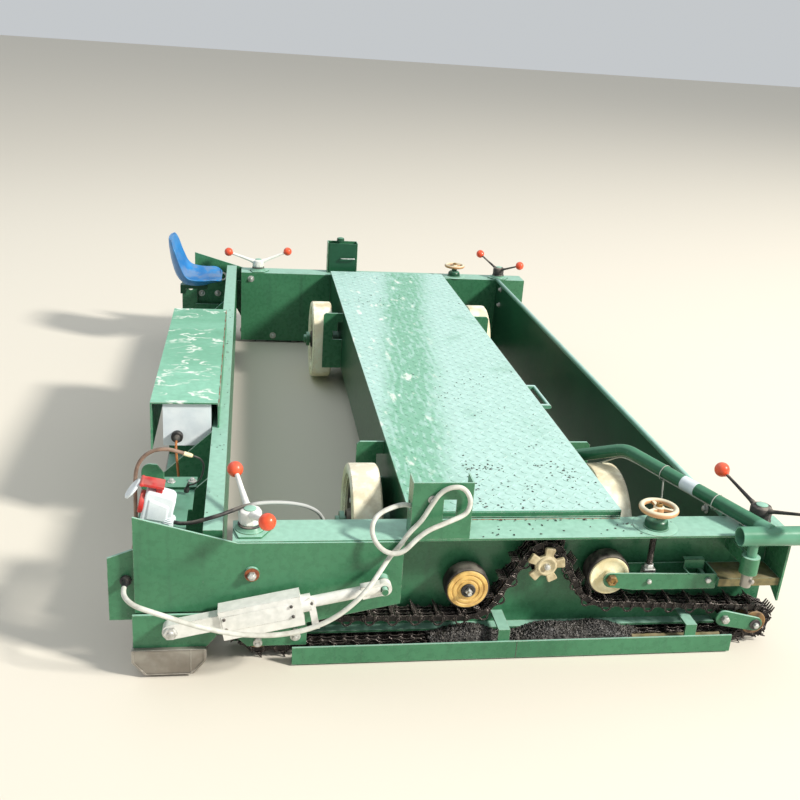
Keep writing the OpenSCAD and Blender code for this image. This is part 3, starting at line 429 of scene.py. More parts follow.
# %% Functions that make a finish
def finish(name, group, values, depth, slot=None, soft=0.0012, **shader_values):
    """A material: the group's colour, roughness and height, and plain numbers on the shader."""
    made = bpy.data.materials.new(name)
    made.use_nodes = True
    slot_of[made] = slot or name
    tree = made.node_tree
    shader = tree.nodes["Principled BSDF"]
    shader.inputs["Specular IOR Level"].default_value = 0.4
    for key, value in shader_values.items():
        shader.inputs[key.replace("_", " ")].default_value = value
    look = add(tree, "Group", node_tree=group)
    for key, value in values.items():
        look.inputs[key].default_value = value
    wire(tree, look.outputs["Color"], shader.inputs["Base Color"])
    wire(tree, look.outputs["Roughness"], shader.inputs["Roughness"])
    edge_light = add(tree, "Bevel", {"Radius": soft}, samples=3).outputs[0]
    bump = add(tree, "Bump", {"Height": look.outputs["Height"], "Distance": depth, "Normal": edge_light})
    wire(tree, bump.outputs[0], shader.inputs["Normal"])
    return made


def paint_finish(name, paint, second, bleached_and_sunlit, slot=None, **values):
    """A worn paint with its three tones; other values are the group's own inputs."""
    named = {key.replace("_", " ").title(): value for key, value in values.items()}
    return finish(name, worn_paint, {"Paint": paint, "Second Tone": second, "Bleached And Sunlit": bleached_and_sunlit, **named},
                  0.0004, slot)


def raw_finish(name, base, hollows, rubbed_and_glint, slot=None, metallic=0.0, coat=0.0, depth=0.0004, **values):
    """A raw surface with its three tones."""
    named = {key.replace("_", " ").title(): value for key, value in values.items()}
    return finish(name, raw_surface, {"Base": base, "Hollows": hollows, "Rubbed And Glint": rubbed_and_glint, **named}, depth,
                  slot, Metallic=metallic, Coat_Weight=coat)


def copied(material, name):
    """A copy of a finish under a new name, in the same slot."""
    made = material.copy()
    made.name = name
    slot_of[made] = slot_of[material]
    return made


def opened(material):
    """A finish's node tree, the socket that its colour comes from, and the input that takes it."""
    base = material.node_tree.nodes["Principled BSDF"].inputs["Base Color"]
    return material.node_tree, base.links[0].from_socket, base


def give_finish(node, material):
    """Puts a finish into all material slots of a CAD node."""
    for material_slot in nodes[node].material_slots:
        material_slot.material = material


print("groups to make finishes from:", [group.name for group in bpy.data.node_groups])


# %% The machine's paints
# Each paint's third colour is its pale tone for up-facing faces: sun-bleached paint and painted sunlight.
green_paint = paint_finish("green_paint", srgb(68, 127, 92), srgb(57, 114, 81), srgb(162, 208, 190),
                           under=srgb(190, 205, 190), sun=0.85, wear=0.42, streaks=0.3, gloss=0.2)
# Painted shade: a darker copy of the green paint, in the same slot, for parts that stand in shade.
shade_green = paint_finish("shade_green", srgb(34, 86, 58), srgb(26, 74, 50), srgb(120, 178, 152),
    under=srgb(150, 160, 145), sun=0.6, wear=0.4, streaks=0.4, gloss=0.24, slot="green_paint")
pale_green = paint_finish("pale_green_paint", srgb(110, 166, 138), srgb(96, 154, 126), srgb(182, 218, 211),
                          under=srgb(235, 242, 235), sun=0.7, wear=0.5, streaks=0.15, gloss=0.22)
white_paint = paint_finish("white_paint", srgb(230, 231, 227), srgb(222, 222, 215), srgb(238, 238, 233),
                           under=srgb(172, 164, 150), sun=0.5, wear=0.2, streaks=0.08, gloss=0.3)
cream_paint = paint_finish("cream_paint", srgb(226, 218, 190), srgb(212, 200, 168), srgb(235, 228, 205),
                           under=srgb(120, 80, 50), sun=0.5, wear=0.5, streaks=0.25)
print("paints:", [m.name for m in bpy.data.materials])

# %% Metals, castings and rubber
# The chain's pale edge tone is rub wear and also a painted glint on the steel.
chain_steel = raw_finish("chain_steel", srgb(32, 28, 29), srgb(14, 12, 13), srgb(205, 192, 184), metallic=0.5,
                         rub_width=0.0010, rub=0.85, grain=400.0, patches=60.0, dust_cover=0.12, rough=0.28)
star_casting = raw_finish("pale_casting", srgb(194, 182, 148), srgb(150, 136, 104), srgb(232, 222, 194),
    rub_width=0.003, rub=0.5, grain=500.0, patches=30.0, dust_cover=0.2, rough=0.5, depth=0.0008)
tyre_rubber = raw_finish("black_rubber", srgb(44, 40, 40), srgb(28, 25, 26), srgb(96, 88, 82),
                         rub_width=0.003, rub=0.4, grain=300.0, patches=25.0, dust_cover=0.35, rough=0.62)
ground_steel = raw_finish("bare_steel", srgb(160, 157, 150), srgb(128, 122, 114), srgb(225, 222, 214),
    metallic=0.55, rub_width=0.003, rub=0.6, grain=90.0, patches=10.0, dust_cover=0.25, rough=0.35)
dark_iron = raw_finish("motor_iron", srgb(50, 48, 50), srgb(34, 33, 35), srgb(110, 104, 98),
                       rub_width=0.003, rub=0.45, grain=250.0, patches=18.0, dust_cover=0.5, rough=0.5)
hub_iron = raw_finish("hub_iron", srgb(58, 50, 46), srgb(36, 32, 31), srgb(140, 100, 70),
                      rub_width=0.004, rub=0.5, grain=220.0, patches=16.0, dust_cover=0.4, rough=0.5)
gold_hub = raw_finish("gold_hub", srgb(214, 178, 104), srgb(178, 140, 74), srgb(246, 222, 160),
    rub_width=0.002, rub=0.5, grain=260.0, patches=26.0, dust_cover=0.2, rough=0.4, slot="cream_paint")
cream_hub = raw_finish("cream_hub", srgb(228, 222, 188), srgb(205, 192, 148), srgb(170, 130, 70),
    rub_width=0.003, rub=0.4, grain=260.0, patches=26.0, dust_cover=0.2, rough=0.42, slot="cream_paint")
zinc = raw_finish("zinc", srgb(205, 206, 204), srgb(170, 170, 165), srgb(240, 240, 236), metallic=0.6,
    rub_width=0.0012, rub=0.5, grain=600.0, patches=80.0, dust_cover=0.15, rough=0.3, slot="bare_steel")
brass_nut = raw_finish("brass_nut", srgb(150, 116, 62), srgb(96, 70, 40), srgb(222, 190, 120), metallic=0.6,
    rub_width=0.0015, rub=0.6, grain=500.0, patches=70.0, dust_cover=0.2, rough=0.35, slot="bare_steel")
print("with metals and rubber:", len(bpy.data.materials), "finishes")

# %% Plastics, sheaths and granules
tread_plastic = raw_finish("cream_polyurethane", srgb(247, 244, 224), srgb(232, 222, 188), srgb(120, 84, 58),
                           rub_width=0.007, rub=0.55, grain=140.0, patches=9.0, dust=(0.30, 0.22, 0.12, 1),
                           dust_cover=0.34, rough=0.42)
ball_plastic = raw_finish("orange_plastic", srgb(232, 88, 50), srgb(214, 72, 38), srgb(248, 150, 112),
    coat=0.4, rub_width=0.001, rub=0.2, grain=300.0, patches=30.0, dust_cover=0.12, rough=0.25, depth=0.0001)
seat_plastic = raw_finish("blue_plastic", srgb(30, 128, 190), srgb(22, 106, 166), srgb(120, 195, 235),
    coat=0.2, rub_width=0.003, rub=0.3, grain=420.0, patches=12.0, dust_cover=0.25, rough=0.35, depth=0.0002)
box_plastic = raw_finish("white_plastic", srgb(222, 230, 234), srgb(206, 216, 222), srgb(244, 248, 250),
    rub_width=0.002, rub=0.3, grain=500.0, patches=15.0, dust_cover=0.15, rough=0.38, depth=0.0002)
cable_sheath = raw_finish("pale_cable", srgb(206, 208, 200), srgb(186, 187, 178), srgb(232, 234, 226),
                          rub_width=0.001, rub=0.2, grain=350.0, patches=40.0, dust=(0.25, 0.2, 0.15, 1),
                          dust_cover=0.26, rough=0.5, depth=0.0002)
black_plastic = raw_finish("black_plastic", srgb(36, 36, 38), srgb(24, 24, 26), srgb(90, 90, 92),
    rub_width=0.001, rub=0.3, grain=500.0, patches=40.0, dust_cover=0.25, rough=0.42, slot="black_rubber")
red_plastic = raw_finish("red_plastic", srgb(196, 42, 38), srgb(168, 30, 30), srgb(230, 110, 100), coat=0.2,
    rub_width=0.001, rub=0.3, grain=400.0, patches=30.0, dust_cover=0.2, rough=0.35, slot="orange_plastic")
# The granules' pale edge tone is a painted glint.
granule_rubber = raw_finish("granule_rubber", srgb(22, 21, 21), srgb(9, 9, 10), srgb(190, 184, 178),
    rub_width=0.0007, rub=0.7, grain=900.0, patches=260.0, dust_cover=0.08, rough=0.32, slot="black_rubber")
print("finishes:", len(bpy.data.materials))

# %% [markdown]
# ## Repainting the CAD nodes
# A CAD node whose shape is right keeps it, and only its material slots change. The table below
# gives each finish its nodes, so a change of finish is a change of one line.

# %% Finishes for the CAD nodes
repaint = {
    green_paint: ["end_frame_r", "end_frame_l", "side_plates", "guard_rails", "tension_arms", "idlers",
                  "guide_handle", "screed_cheeks", "wheel_brackets", "screed_frame", "cable_brackets"],
    # The beams, the front plate and the seat bracket get the darker copy of the green paint: painted shade.
    shade_green: ["chassis_beams", "front_plate", "seat_bracket"],
    pale_green: ["deck_cover", "cabinet_cover"],
    chain_steel: ["track_r", "track_l"], star_casting: ["drive_stars"], dark_iron: ["drive_motors"],
    cream_hub: ["roller_hubs"], cream_paint: ["handwheels"], tyre_rubber: ["roller_tyres", "cable_plug"],
    tread_plastic: ["wheel_tyre_rr", "wheel_tyre_fr", "wheel_tyre_rl", "wheel_tyre_fl"],
    hub_iron: ["wheel_hub_rr", "wheel_hub_fr", "wheel_hub_rl", "wheel_hub_fl"],
    white_paint: ["ball_levers", "actuator_body_r", "actuator_body_l", "actuator_rod_r", "actuator_rod_l"],
    ball_plastic: ["lever_balls"], seat_plastic: ["seat"], ground_steel: ["ironing_plate"],
    box_plastic: ["control_box"], cable_sheath: ["power_cable"]}
for material, names in repaint.items():
    for name in names:
        give_finish(name, material)
print("repainted", sum(len(names) for names in repaint.values()), "of", len(nodes), "nodes")

# %% [markdown]
# ## The supply cable
# A thick pale cable leaves a gland in the rear wing, sags along the side plate, climbs over the
# edge of the end frame and winds round the cable bracket, where its plug rests. Its route
# repeats the CAD model's points: (x, distance outwards from the flange's edge, z), in
# millimetres. A limp cable 13 mm thick can bend to about twice its own diameter.


# %% The cable, its strain relief and its plug
flange_edge = 1.5             # half of the machine's width over the end frames
cable_stops = np.array([(-917, -8, 269), (-917, 14, 269), (-917, 36, 269), (-912, 60, 267), (-899, 81, 264),
    (-880, 95, 259), (-856, 104, 254), (-803, 110, 236), (-750, 114, 217), (-697, 116, 201), (-645, 116, 188),
    (-594, 115, 181), (-545, 114, 179), (-496, 113, 184), (-450, 112, 196), (-408, 110, 214),
    (-369, 106, 239), (-332, 98, 270), (-301, 78, 296), (-274, 50, 320), (-247, 24, 347), (-222, 17, 375),
    (-198, 9, 408), (-169, 9, 444), (-147, 9, 485), (-127, 10, 519), (-104, 13, 537), (-77, 14, 540),
    (-58, 15, 528), (-47, 16, 504), (-50, 18, 478), (-66, 21, 462), (-111, 29, 445), (-154, 37, 429),
    (-184, 42, 407), (-212, 46, 379), (-236, 47, 369), (-263, 42, 373), (-285, 31, 390), (-296, 17, 413),
    (-293, 4, 437), (-276, -8, 455), (-244, -20, 466), (-209, -31, 469), (-183, -35, 458), (-160, -36, 432),
    (-129, -36, 400), (-115, -36, 400)], float) / 1000
cable_path = smooth_path(np.column_stack([cable_stops[:, 0], -(flange_edge + cable_stops[:, 1]),
                                          cable_stops[:, 2]]))
cable_r = 0.0065
power_cable = put("supply_cable", tube(cable_path, cable_r, 16), cable_sheath, smooth=60,
                  replaces=["power_cable"])

gland_nut = lathe([(0.0070, 0.0), (0.0145, 0.0), (0.0145, 0.008), (0.0100, 0.011), (0.0085, 0.025),
                   (0.0070, 0.038), (0.0066, 0.039)], at=(0, 0, 0), axis="z", sides=24)
gland_relief = put("cable_gland", placed(gland_nut, cable_path[0] + [0, 0.006, 0], facing((0, -1, 0))),
                   black_plastic)

plug_tip = cable_path[-1]
plug_body = lathe([(0.0068, 0.0), (0.0110, 0.001), (0.0128, 0.010), (0.0136, 0.011), (0.0136, 0.020),
                   (0.0148, 0.024), (0.0164, 0.028), (0.0164, 0.052), (0.0158, 0.054), (0.0158, 0.066),
                   (0.0128, 0.067), (0.0128, 0.058)], at=plug_tip, axis="x", sides=40)
pins = join(*[lathe([(0.0024, 0.05), (0.0024, 0.064), (0.0016, 0.0665)],
                    at=plug_tip + [0, 0.0075 * math.cos(a), 0.0075 * math.sin(a)], axis="x", sides=10)
              for a in np.radians([90, 210, 330])])
plug = put("supply_plug", plug_body, black_plastic, replaces=["cable_plug"])
plug_pins = put("supply_plug_pins", pins, brass_nut)

# %% [markdown]
# ## The chain's path
# A cleated chain runs round two idlers below, over the drive star and under two rollers. The CAD
# model holds it as one plain loop. Here the same pitch line is worked out again: an arc round
# each wheel, and straight runs that touch both neighbours. A wheel that presses from outside
# has a radius below zero.

# %% The pitch line as points and headings
belt = np.array([(-0.582, 0.076, 0.045), (0.849, 0.076, 0.045), (0.387, 0.237, -0.0933),
                 (0.195, 0.283, 0.053), (-0.014, 0.203, -0.0933)])      # x, z and pitch radius
full_turn = 2 * np.pi
to_next = np.roll(belt, -1, 0) - belt
heading = np.arctan2(to_next[:, 1], to_next[:, 0]) + np.arcsin(-to_next[:, 2] / np.hypot(*to_next[:, :2].T))
before = np.roll(heading, 1)
bend = np.where(belt[:, 2] > 0, (heading - before) % full_turn, -((before - heading) % full_turn))
arc_angles = before[:, None] + bend[:, None] * np.linspace(0, 1, 33)
pitch_line = (belt[:, None, :2] + belt[:, None, 2, None]
              * np.stack([np.sin(arc_angles), -np.cos(arc_angles)], -1)).reshape(-1, 2)
pitch_line = np.concatenate([pitch_line, pitch_line[:1]])
pitch_angles = np.unwrap(np.append(arc_angles.ravel(), arc_angles[0, 0]))
distance = np.append(0, np.cumsum(np.hypot(*np.diff(pitch_line, axis=0).T)))
loop_length = distance[-1]
cleat_count = int(round(loop_length / 0.0635))
print("chain length:", round(loop_length, 4), "m with", cleat_count, "cleats")


def on_chain(steps):
    """Places and turns at distances along the chain: x runs ahead, y across, z to the inside."""
    steps = np.asarray(steps, float) % loop_length
    x, z, angle = (np.interp(steps, distance, v) for v in (*pitch_line.T, pitch_angles))
    zero, one = np.zeros_like(x), np.ones_like(x)
    turns = np.stack([np.stack([np.cos(angle), zero, -np.sin(angle)], -1), np.stack([zero, one, zero], -1),
                      np.stack([np.sin(angle), zero, np.cos(angle)], -1)], 1)
    return np.stack([x, zero, z], -1), turns


# %% [markdown]
# ## Links, pins and cleats
# The real chain is two strands of roller chain. A link is a pair of side plates with rounded
# ends, and inner and outer plates alternate. Every second link carries a cleat: a foot bar with
# six thin claws outside, and at each side a bar bent to a U that hangs to the inside.

# %% Link plates, pins and the two strands
chain_y = (-1.462, -1.402)    # the chain's outer and inner side on the right-hand end
half_pitch = loop_length / cleat_count / 2


def link_plate(y, thick=0.0026, r=0.0098):
    """A flat link plate: two half circles of one radius, joined by a waisted middle."""
    h = half_pitch / 2
    o = np.concatenate([arc(h, 0, r, -80, 80, 7), [[0, 0.72 * r]], arc(-h, 0, r, 100, 260, 7),
                        [[0, -0.72 * r]]])
    return plate(o, y - thick / 2, y + thick / 2)


def strand(y0, y1):
    """One strand between two sides: outer and inner link plates in turn, and pins with rollers."""
    places, turns = on_chain((np.arange(2 * cleat_count) + 0.5) * half_pitch)
    outer = join(link_plate(y0 + 0.0014), link_plate(y1 - 0.0014))
    inner = join(link_plate(y0 + 0.0046), link_plate(y1 - 0.0046))
    pin_places, pin_turns = on_chain(np.arange(2 * cleat_count) * half_pitch)
    pin = join(lathe([(0.0032, y0 - 0.0012), (0.0038, y0 - 0.0004), (0.0038, y1 + 0.0004),
                      (0.0032, y1 + 0.0012)], sides=8),
               lathe([(0.0078, y0 + 0.0065), (0.0078, y1 - 0.0065)], sides=10))
    return join(copies(outer, places[::2], turns[::2]), copies(inner, places[1::2], turns[1::2]),
                copies(pin, pin_places, pin_turns))


links = join(strand(chain_y[0] + 0.0035, chain_y[0] + 0.0245),
             strand(chain_y[1] - 0.0245, chain_y[1] - 0.0035))
print("half a pitch is", round(1000 * half_pitch, 2), "mm, and both strands have", len(links[0]), "points")

# %% Claws, hooks and all the cleats
def claw(y, width=0.0032):
    """A thin claw: it stands on the foot plate, leans ahead and tapers to its tip."""
    o = [(-0.0035, -0.0105), (0.0040, -0.0105), (0.0055, -0.0190), (0.0125, -0.0305), (0.0100, -0.0305),
         (0.0005, -0.0195)]
    return plate(o, y - width / 2, y + width / 2)


def hook(y, thick=0.0032):
    """A flat bar bent to a U: half an ellipse outside, a smaller one inside, and straight legs."""
    a = np.radians(np.linspace(0, 180, 13))[:, None]
    bow = np.hstack([np.cos(a), np.sin(a)])
    o = np.concatenate([[(0.0165, -0.0115)], bow * [0.0165, 0.0205], [(-0.0165, -0.0115), (-0.0122, -0.0115)],
                        bow[::-1] * [0.0122, 0.0158], [(0.0122, -0.0115)]])
    return plate(o, y - thick / 2, y + thick / 2)


middle = sum(chain_y) / 2
claw_shifts = (-0.0235, -0.0145, -0.005, 0.005, 0.0145, 0.0235)
cleat = join(*[claw(middle + shift) for shift in claw_shifts],
             block(-0.0075, 0.0075, chain_y[0] + 0.001, chain_y[1] - 0.001, -0.0130, -0.0105),
             hook(chain_y[0] + 0.0017), hook(chain_y[1] - 0.0017))
cleat_places, cleat_turns = on_chain((2 * np.arange(cleat_count) + 0.5) * half_pitch)
chain = join(links, copies(cleat, cleat_places, cleat_turns))
put("chain_r", chain, chain_steel, smooth=30, replaces=["track_r"])
put("chain_l", other_end(chain), chain_steel, smooth=30, replaces=["track_l"])
print("chain faces for one end:", sum(len(faces) for faces in chain[1]))

# %% [markdown]
# ## Drive star, rollers and idlers
# Round pieces are turned on a lathe in the workshop, and here too: a profile of radius and
# distance along the axle. The distance outwards is minus y at the right-hand end. The star is a
# casting with five square paddles and a cup in the middle that holds the axle's bolt.

# %% Nuts, bolts and washers
def nut(across, height, hole=0.0, sides=6):
    """A hexagon with a chamfered top, its axis along z and its foot at zero."""
    r = across / 2 / math.cos(math.pi / 6)
    return lathe([(r, 0.0), (r, 0.8 * height), (0.86 * r, height), (max(hole, 0.12 * r), height)]
                 + ([(hole, 0.6 * height)] if hole else []), axis="z", sides=sides)


def bolt(across, washer=True):
    """A washer, a hexagon head and a low dome on it."""
    h = 0.62 * across
    head = join(nut(across, h),
                lathe([(0.36 * across, h), (0.3 * across, h * 1.08), (0.05 * across, h * 1.12)], axis="z",
                      sides=12))
    if not washer:
        return head
    flat = lathe([(across * 0.95, 0), (across * 0.95, 0.0022), (across * 0.3, 0.0024)], axis="z", sides=20)
    return join(flat, placed(head, (0, 0, 0.0023)))


def outward(shape, x, out, z):
    """Puts a shape built along z onto the right-hand end, so that it points away from the machine."""
    return placed(shape, (x, -out, z), facing((0, -1, 0)))


print("a bolt with its washer has", len(bolt(0.02)[0]), "points")


# %% The drive stars
def star_outline(paddles=5, tip=0.0525, root=0.030, tip_half=0.0145, root_half=0.0115, start=9.0):
    """Going round, each paddle gives two root points and two tip points a little wider apart."""
    turn = np.radians(start + 360 / paddles * np.arange(paddles))[:, None]
    r = np.array([root, tip - 0.003, tip, tip, tip - 0.003, root])
    w = np.array([-root_half, -tip_half, -tip_half + 0.003, tip_half - 0.003, tip_half, root_half])
    x = r * np.cos(turn) - w * np.sin(turn)
    z = r * np.sin(turn) + w * np.cos(turn)
    return np.stack([x, z], -1).reshape(-1, 2)


star_x, star_z = 0.195, 0.283
star_at = (star_x, 0, star_z)
star_plate = placed(plate(star_outline(), -1.4765, -1.4655), star_at)
star_cup = lathe([(0.0285, -1.474), (0.0275, -1.480), (0.0245, -1.4828), (0.0205, -1.4815), (0.0165, -1.4775),
                  (0.002, -1.4775)], at=star_at, sides=40)
star_drum = lathe([(0.028, -1.4055), (0.0405, -1.4075), (0.0405, -1.424), (0.034, -1.427), (0.034, -1.437),
    (0.0405, -1.440), (0.0405, -1.4565), (0.028, -1.4585), (0.02, -1.466)], at=star_at, sides=40)
star_shaft = lathe([(0.02, -1.393), (0.02, -1.47)], at=star_at, sides=32)
stars = both_ends(join(star_plate, star_cup))
put("drive_stars", stars, star_casting, bevel=0.0018, replaces=["drive_stars"])
put("drive_drums", both_ends(join(star_drum, star_shaft)), chain_steel, bevel=0.0008)
star_bolt = outward(bolt(0.017, washer=False), star_x, 1.4772, star_z)
put("star_bolts", both_ends(star_bolt), zinc, bevel=0.0005)

# %% The rollers that press on the chain
rollers = {"press": (-0.014, 0.203), "tension": (0.387, 0.237)}
tyre_profile = [(0.0485, -1.409), (0.0575, -1.408), (0.0615, -1.4115), (0.062, -1.418), (0.062, -1.450),
                (0.0615, -1.4540), (0.0590, -1.4565), (0.0572, -1.4565), (0.0572, -1.4535), (0.0485, -1.4525)]
tyres = join(*[lathe(tyre_profile, at=(x, 0, z), sides=64, ring=True) for x, z in rollers.values()])
put("roller_tyres", both_ends(tyres), tyre_rubber, replaces=["roller_tyres"])

px, pz = rollers["press"]
press_hub = lathe([(0.016, -1.395), (0.016, -1.408), (0.0488, -1.410), (0.0488, -1.453), (0.0560, -1.4540),
    (0.0568, -1.4580), (0.0550, -1.4612), (0.0472, -1.4618), (0.0455, -1.4592), (0.0425, -1.4592),
    (0.0410, -1.4620), (0.0335, -1.4625), (0.0318, -1.4600), (0.0285, -1.4600), (0.0270, -1.4628),
    (0.0205, -1.4635)], at=(px, 0, pz), sides=64)
put("press_roller_hubs", both_ends(press_hub), gold_hub, replaces=["roller_hubs"])
press_ring = lathe([(0.0205, -1.4605), (0.0205, -1.4655), (0.0185, -1.468), (0.0125, -1.468),
                    (0.0125, -1.4645), (0.009, -1.4645)], at=(px, 0, pz), sides=48)
put("press_roller_rings", both_ends(press_ring), dark_iron)
press_nut = join(outward(nut(0.019, 0.011, sides=4), px, 1.4645, pz),
    outward(lathe([(0.006, 0), (0.006, 0.0205), (0.005, 0.0215)], axis="z", sides=16), px, 1.4645, pz))
put("press_roller_nuts", both_ends(press_nut), zinc, bevel=0.0008)

tx, tz = rollers["tension"]
tension_hub = lathe([(0.016, -1.395), (0.016, -1.408), (0.0488, -1.410), (0.0488, -1.453), (0.0560, -1.4540),
    (0.0568, -1.4585), (0.0550, -1.4612), (0.0500, -1.4615), (0.0455, -1.4588), (0.026, -1.4575),
    (0.0215, -1.4590), (0.0205, -1.4655), (0.0175, -1.4675), (0.01, -1.4675)], at=(tx, 0, tz), sides=64)
put("tension_roller_hubs", both_ends(tension_hub), cream_hub)
tension_nut = join(outward(nut(0.028, 0.014, hole=0.0085), tx, 1.4765, tz),
                   outward(lathe([(0.0085, -0.006), (0.0085, 0.010), (0.0072, 0.0115)], axis="z", sides=20),
                           tx, 1.4765 - 0.0005, tz))
put("tension_roller_nuts", both_ends(tension_nut), brass_nut, bevel=0.0006)

# %% Idler wheels with their arms
rear_x, front_x, idler_z = -0.582, 0.849, 0.076
arm_face = 1.4755             # the outer face of the idlers' arms, outwards from the machine's middle


def idler_pieces(x, side):
    """One idler's wheel and arm, and the place of the arm's bolt; side is 1 at the rear, -1 in front."""
    bolt_x, bolt_z = x + side * 0.099, 0.098
    wheel = lathe([(0.011, -1.396), (0.011, -1.404), (0.030, -1.4065), (0.0335, -1.408), (0.0335, -1.456),
                   (0.020, -1.4575), (0.020, -1.4622), (0.0368, -1.4630), (0.0368, -1.4655), (0.034, -1.4665),
                   (0.028, -1.4648), (0.014, -1.4655), (0.011, -1.468)], at=(x, 0, idler_z), sides=48)
    tilt = math.atan2(0.022, side * 0.1)
    lean_in = math.degrees(math.acos((0.0245 - 0.022) / math.hypot(0.1, 0.022)))
    d = math.degrees(tilt)
    kept = np.concatenate([arc(0, 0, 0.022, d + 180 - lean_in, d + 180 + lean_in, 15),
                           arc(side * 0.1, 0.022, 0.0245, d + lean_in - 180, d + 180 - lean_in, 15)])
    arm = placed(plate(kept, -arm_face, -1.4685), (x, 0, idler_z))
    return wheel, arm, bolt_x, bolt_z


rear_wheel, rear_arm, rear_bolt_x, arm_bolt_z = idler_pieces(rear_x, 1)
front_wheel, front_arm, front_bolt_x, _ = idler_pieces(front_x, -1)
rusty_disc = raw_finish("rusty_disc", srgb(150, 116, 74), srgb(92, 66, 44), srgb(206, 180, 130), metallic=0.3,
    rub_width=0.003, rub=0.6, grain=260.0, patches=30.0, dust_cover=0.35, rough=0.5, slot="chain_steel")
put("idler_wheels", both_ends(join(rear_wheel, front_wheel)), rusty_disc, replaces=["idlers"], bevel=0.0006)
put("idler_arms", both_ends(join(rear_arm, front_arm)), green_paint, bevel=0.0012)
arm_bolts = join(outward(bolt(0.020), rear_bolt_x, arm_face, arm_bolt_z),
                 outward(bolt(0.018), rear_x, arm_face, idler_z),
                 outward(bolt(0.022, False), front_bolt_x, arm_face, arm_bolt_z),
                 outward(bolt(0.015, False), front_x, 1.479, idler_z))
put("idler_bolts", both_ends(arm_bolts), zinc, bevel=0.0006)
washer = lathe([(0.0165, 0), (0.0165, 0.003), (0.006, 0.0036)], axis="z", sides=28)
put("idler_washers", both_ends(outward(washer, front_x, arm_face, idler_z)), dark_iron)
axles = [lathe([(0.0105, -1.394), (0.0105, -arm_face)], at=(x, 0, idler_z), sides=20)
         for x in (rear_x, front_x)]
axles += [lathe([(0.0078, -1.394), (0.0078, -1.470)], at=(x, 0, arm_bolt_z), sides=16)
          for x in (rear_bolt_x, front_bolt_x)]
put("idler_axles", both_ends(join(*axles)), chain_steel)

# %% [markdown]
# ## Transport wheels
# Four wheels carry the machine when it is pushed from place to place. Each has a thick cream
# tread on a dark, dished disc with six bolts. The axle runs along x. The tread's shoulders are
# rounded, and its outer face has a step where the moulding meets the disc.

# %% Tread, disc and bolts of a wheel
wheel_z, bolt_circle = 0.197, 0.078
wheel_spots = {"rr": (-0.313, -1.050), "fr": (0.450, -1.050), "rl": (-0.313, 0.835), "fl": (0.450, 0.835)}
tread_profile = [(0.1385, 0.012), (0.146, 0.010), (0.150, 0.004), (0.168, 0.0), (0.176, 0.0015),
                 (0.181, 0.006), (0.182, 0.012), (0.182, 0.083), (0.181, 0.089), (0.176, 0.0935),
                 (0.168, 0.095), (0.150, 0.091), (0.146, 0.085), (0.1385, 0.083)]
disc_profile = [(0.1384, 0.0385), (0.1384, 0.0190), (0.131, 0.0182), (0.1265, 0.0215), (0.098, 0.0300),
    (0.060, 0.0290), (0.046, 0.0200), (0.040, 0.0060), (0.038, 0.0012), (0.030, 0.0005), (0.0206, 0.0005)]
disc_profile = disc_profile + [(r, 0.095 - h) for r, h in disc_profile[::-1]]
for key, (x0, y) in wheel_spots.items():
    at = (x0, y, wheel_z)
    body = "wheel_" + key
    put("tread_" + key, lathe(tread_profile, at=at, axis="x", sides=96, ring=True), tread_plastic, body,
        replaces=["wheel_tyre_" + key])
    put("disc_" + key, lathe(disc_profile, at=at, axis="x", sides=72, ring=True), hub_iron, body,
        replaces=["wheel_hub_" + key])
    angles = np.radians(30 + 60 * np.arange(6))
    rim_bolts = [placed(bolt(0.015), (x0 + (0.0288 if s < 0 else 0.0662), y + bolt_circle * np.cos(a),
                                      wheel_z + bolt_circle * np.sin(a)), facing((s, 0, 0)))
                 for a in angles for s in (-1, 1)]
    put("disc_bolts_" + key, join(*rim_bolts), zinc, body)
print("wheels:", list(wheel_spots))

# %% [markdown]
# ## Handwheels
# A handwheel presses each tension arm down through a screw. Its rim is a round ring with flat
# spokes and a brass nut, and it stands on a green dome with a round pad below. The dome's darker
# green is painted shade.

# %% A handwheel's rim, spokes and hub, and its paint
screw_x, screw_y, rim_z = 0.505, -1.446, 0.441


def ring(radius, half_width, half_height, z, at_x, at_y, sides=12, around=64):
    """A torus with an oval section: (R + a cos v) round the axis, b sin v along it."""
    v = np.linspace(0, full_turn, sides, endpoint=False)
    return lathe(np.column_stack([radius + half_width * np.cos(v), z + half_height * np.sin(v)]),
                 at=(at_x, at_y, 0), axis="z", sides=around, ring=True)


rim = ring(0.0470, 0.0078, 0.0085, rim_z, screw_x, screw_y)
spoke = plate([(0.010, -0.0065), (0.026, -0.0048), (0.044, -0.0060), (0.044, 0.0060), (0.026, 0.0048),
               (0.010, 0.0065)], -0.005, 0.0035, "z")
spoke_turns = [np.array([(math.cos(a), -math.sin(a), 0), (math.sin(a), math.cos(a), 0), (0, 0, 1)])
               for a in np.radians([90, 210, 330])]
spokes = join(*[placed(spoke, (screw_x, screw_y, rim_z), turned_by) for turned_by in spoke_turns])
hand_hub = lathe([(0.0145, rim_z - 0.012), (0.016, rim_z - 0.004), (0.0152, rim_z + 0.004),
                  (0.0115, rim_z + 0.007)], at=(screw_x, screw_y, 0), axis="z", sides=32)
handwheel_paint = copied(cream_paint, "handwheel_paint")
tree, cream_tone, base_input = opened(handwheel_paint)
facing_up = part_of(tree, add(tree, "NewGeometry").outputs["Normal"], "Z")
grip_wear = times(tree, ramp(tree, facing_up, 0.80, 0.15), 0.8)
wire(tree, mixed(tree, grip_wear, cream_tone, srgb(196, 132, 78)), base_input)
print("a handwheel's rim has", len(rim[0]), "points")

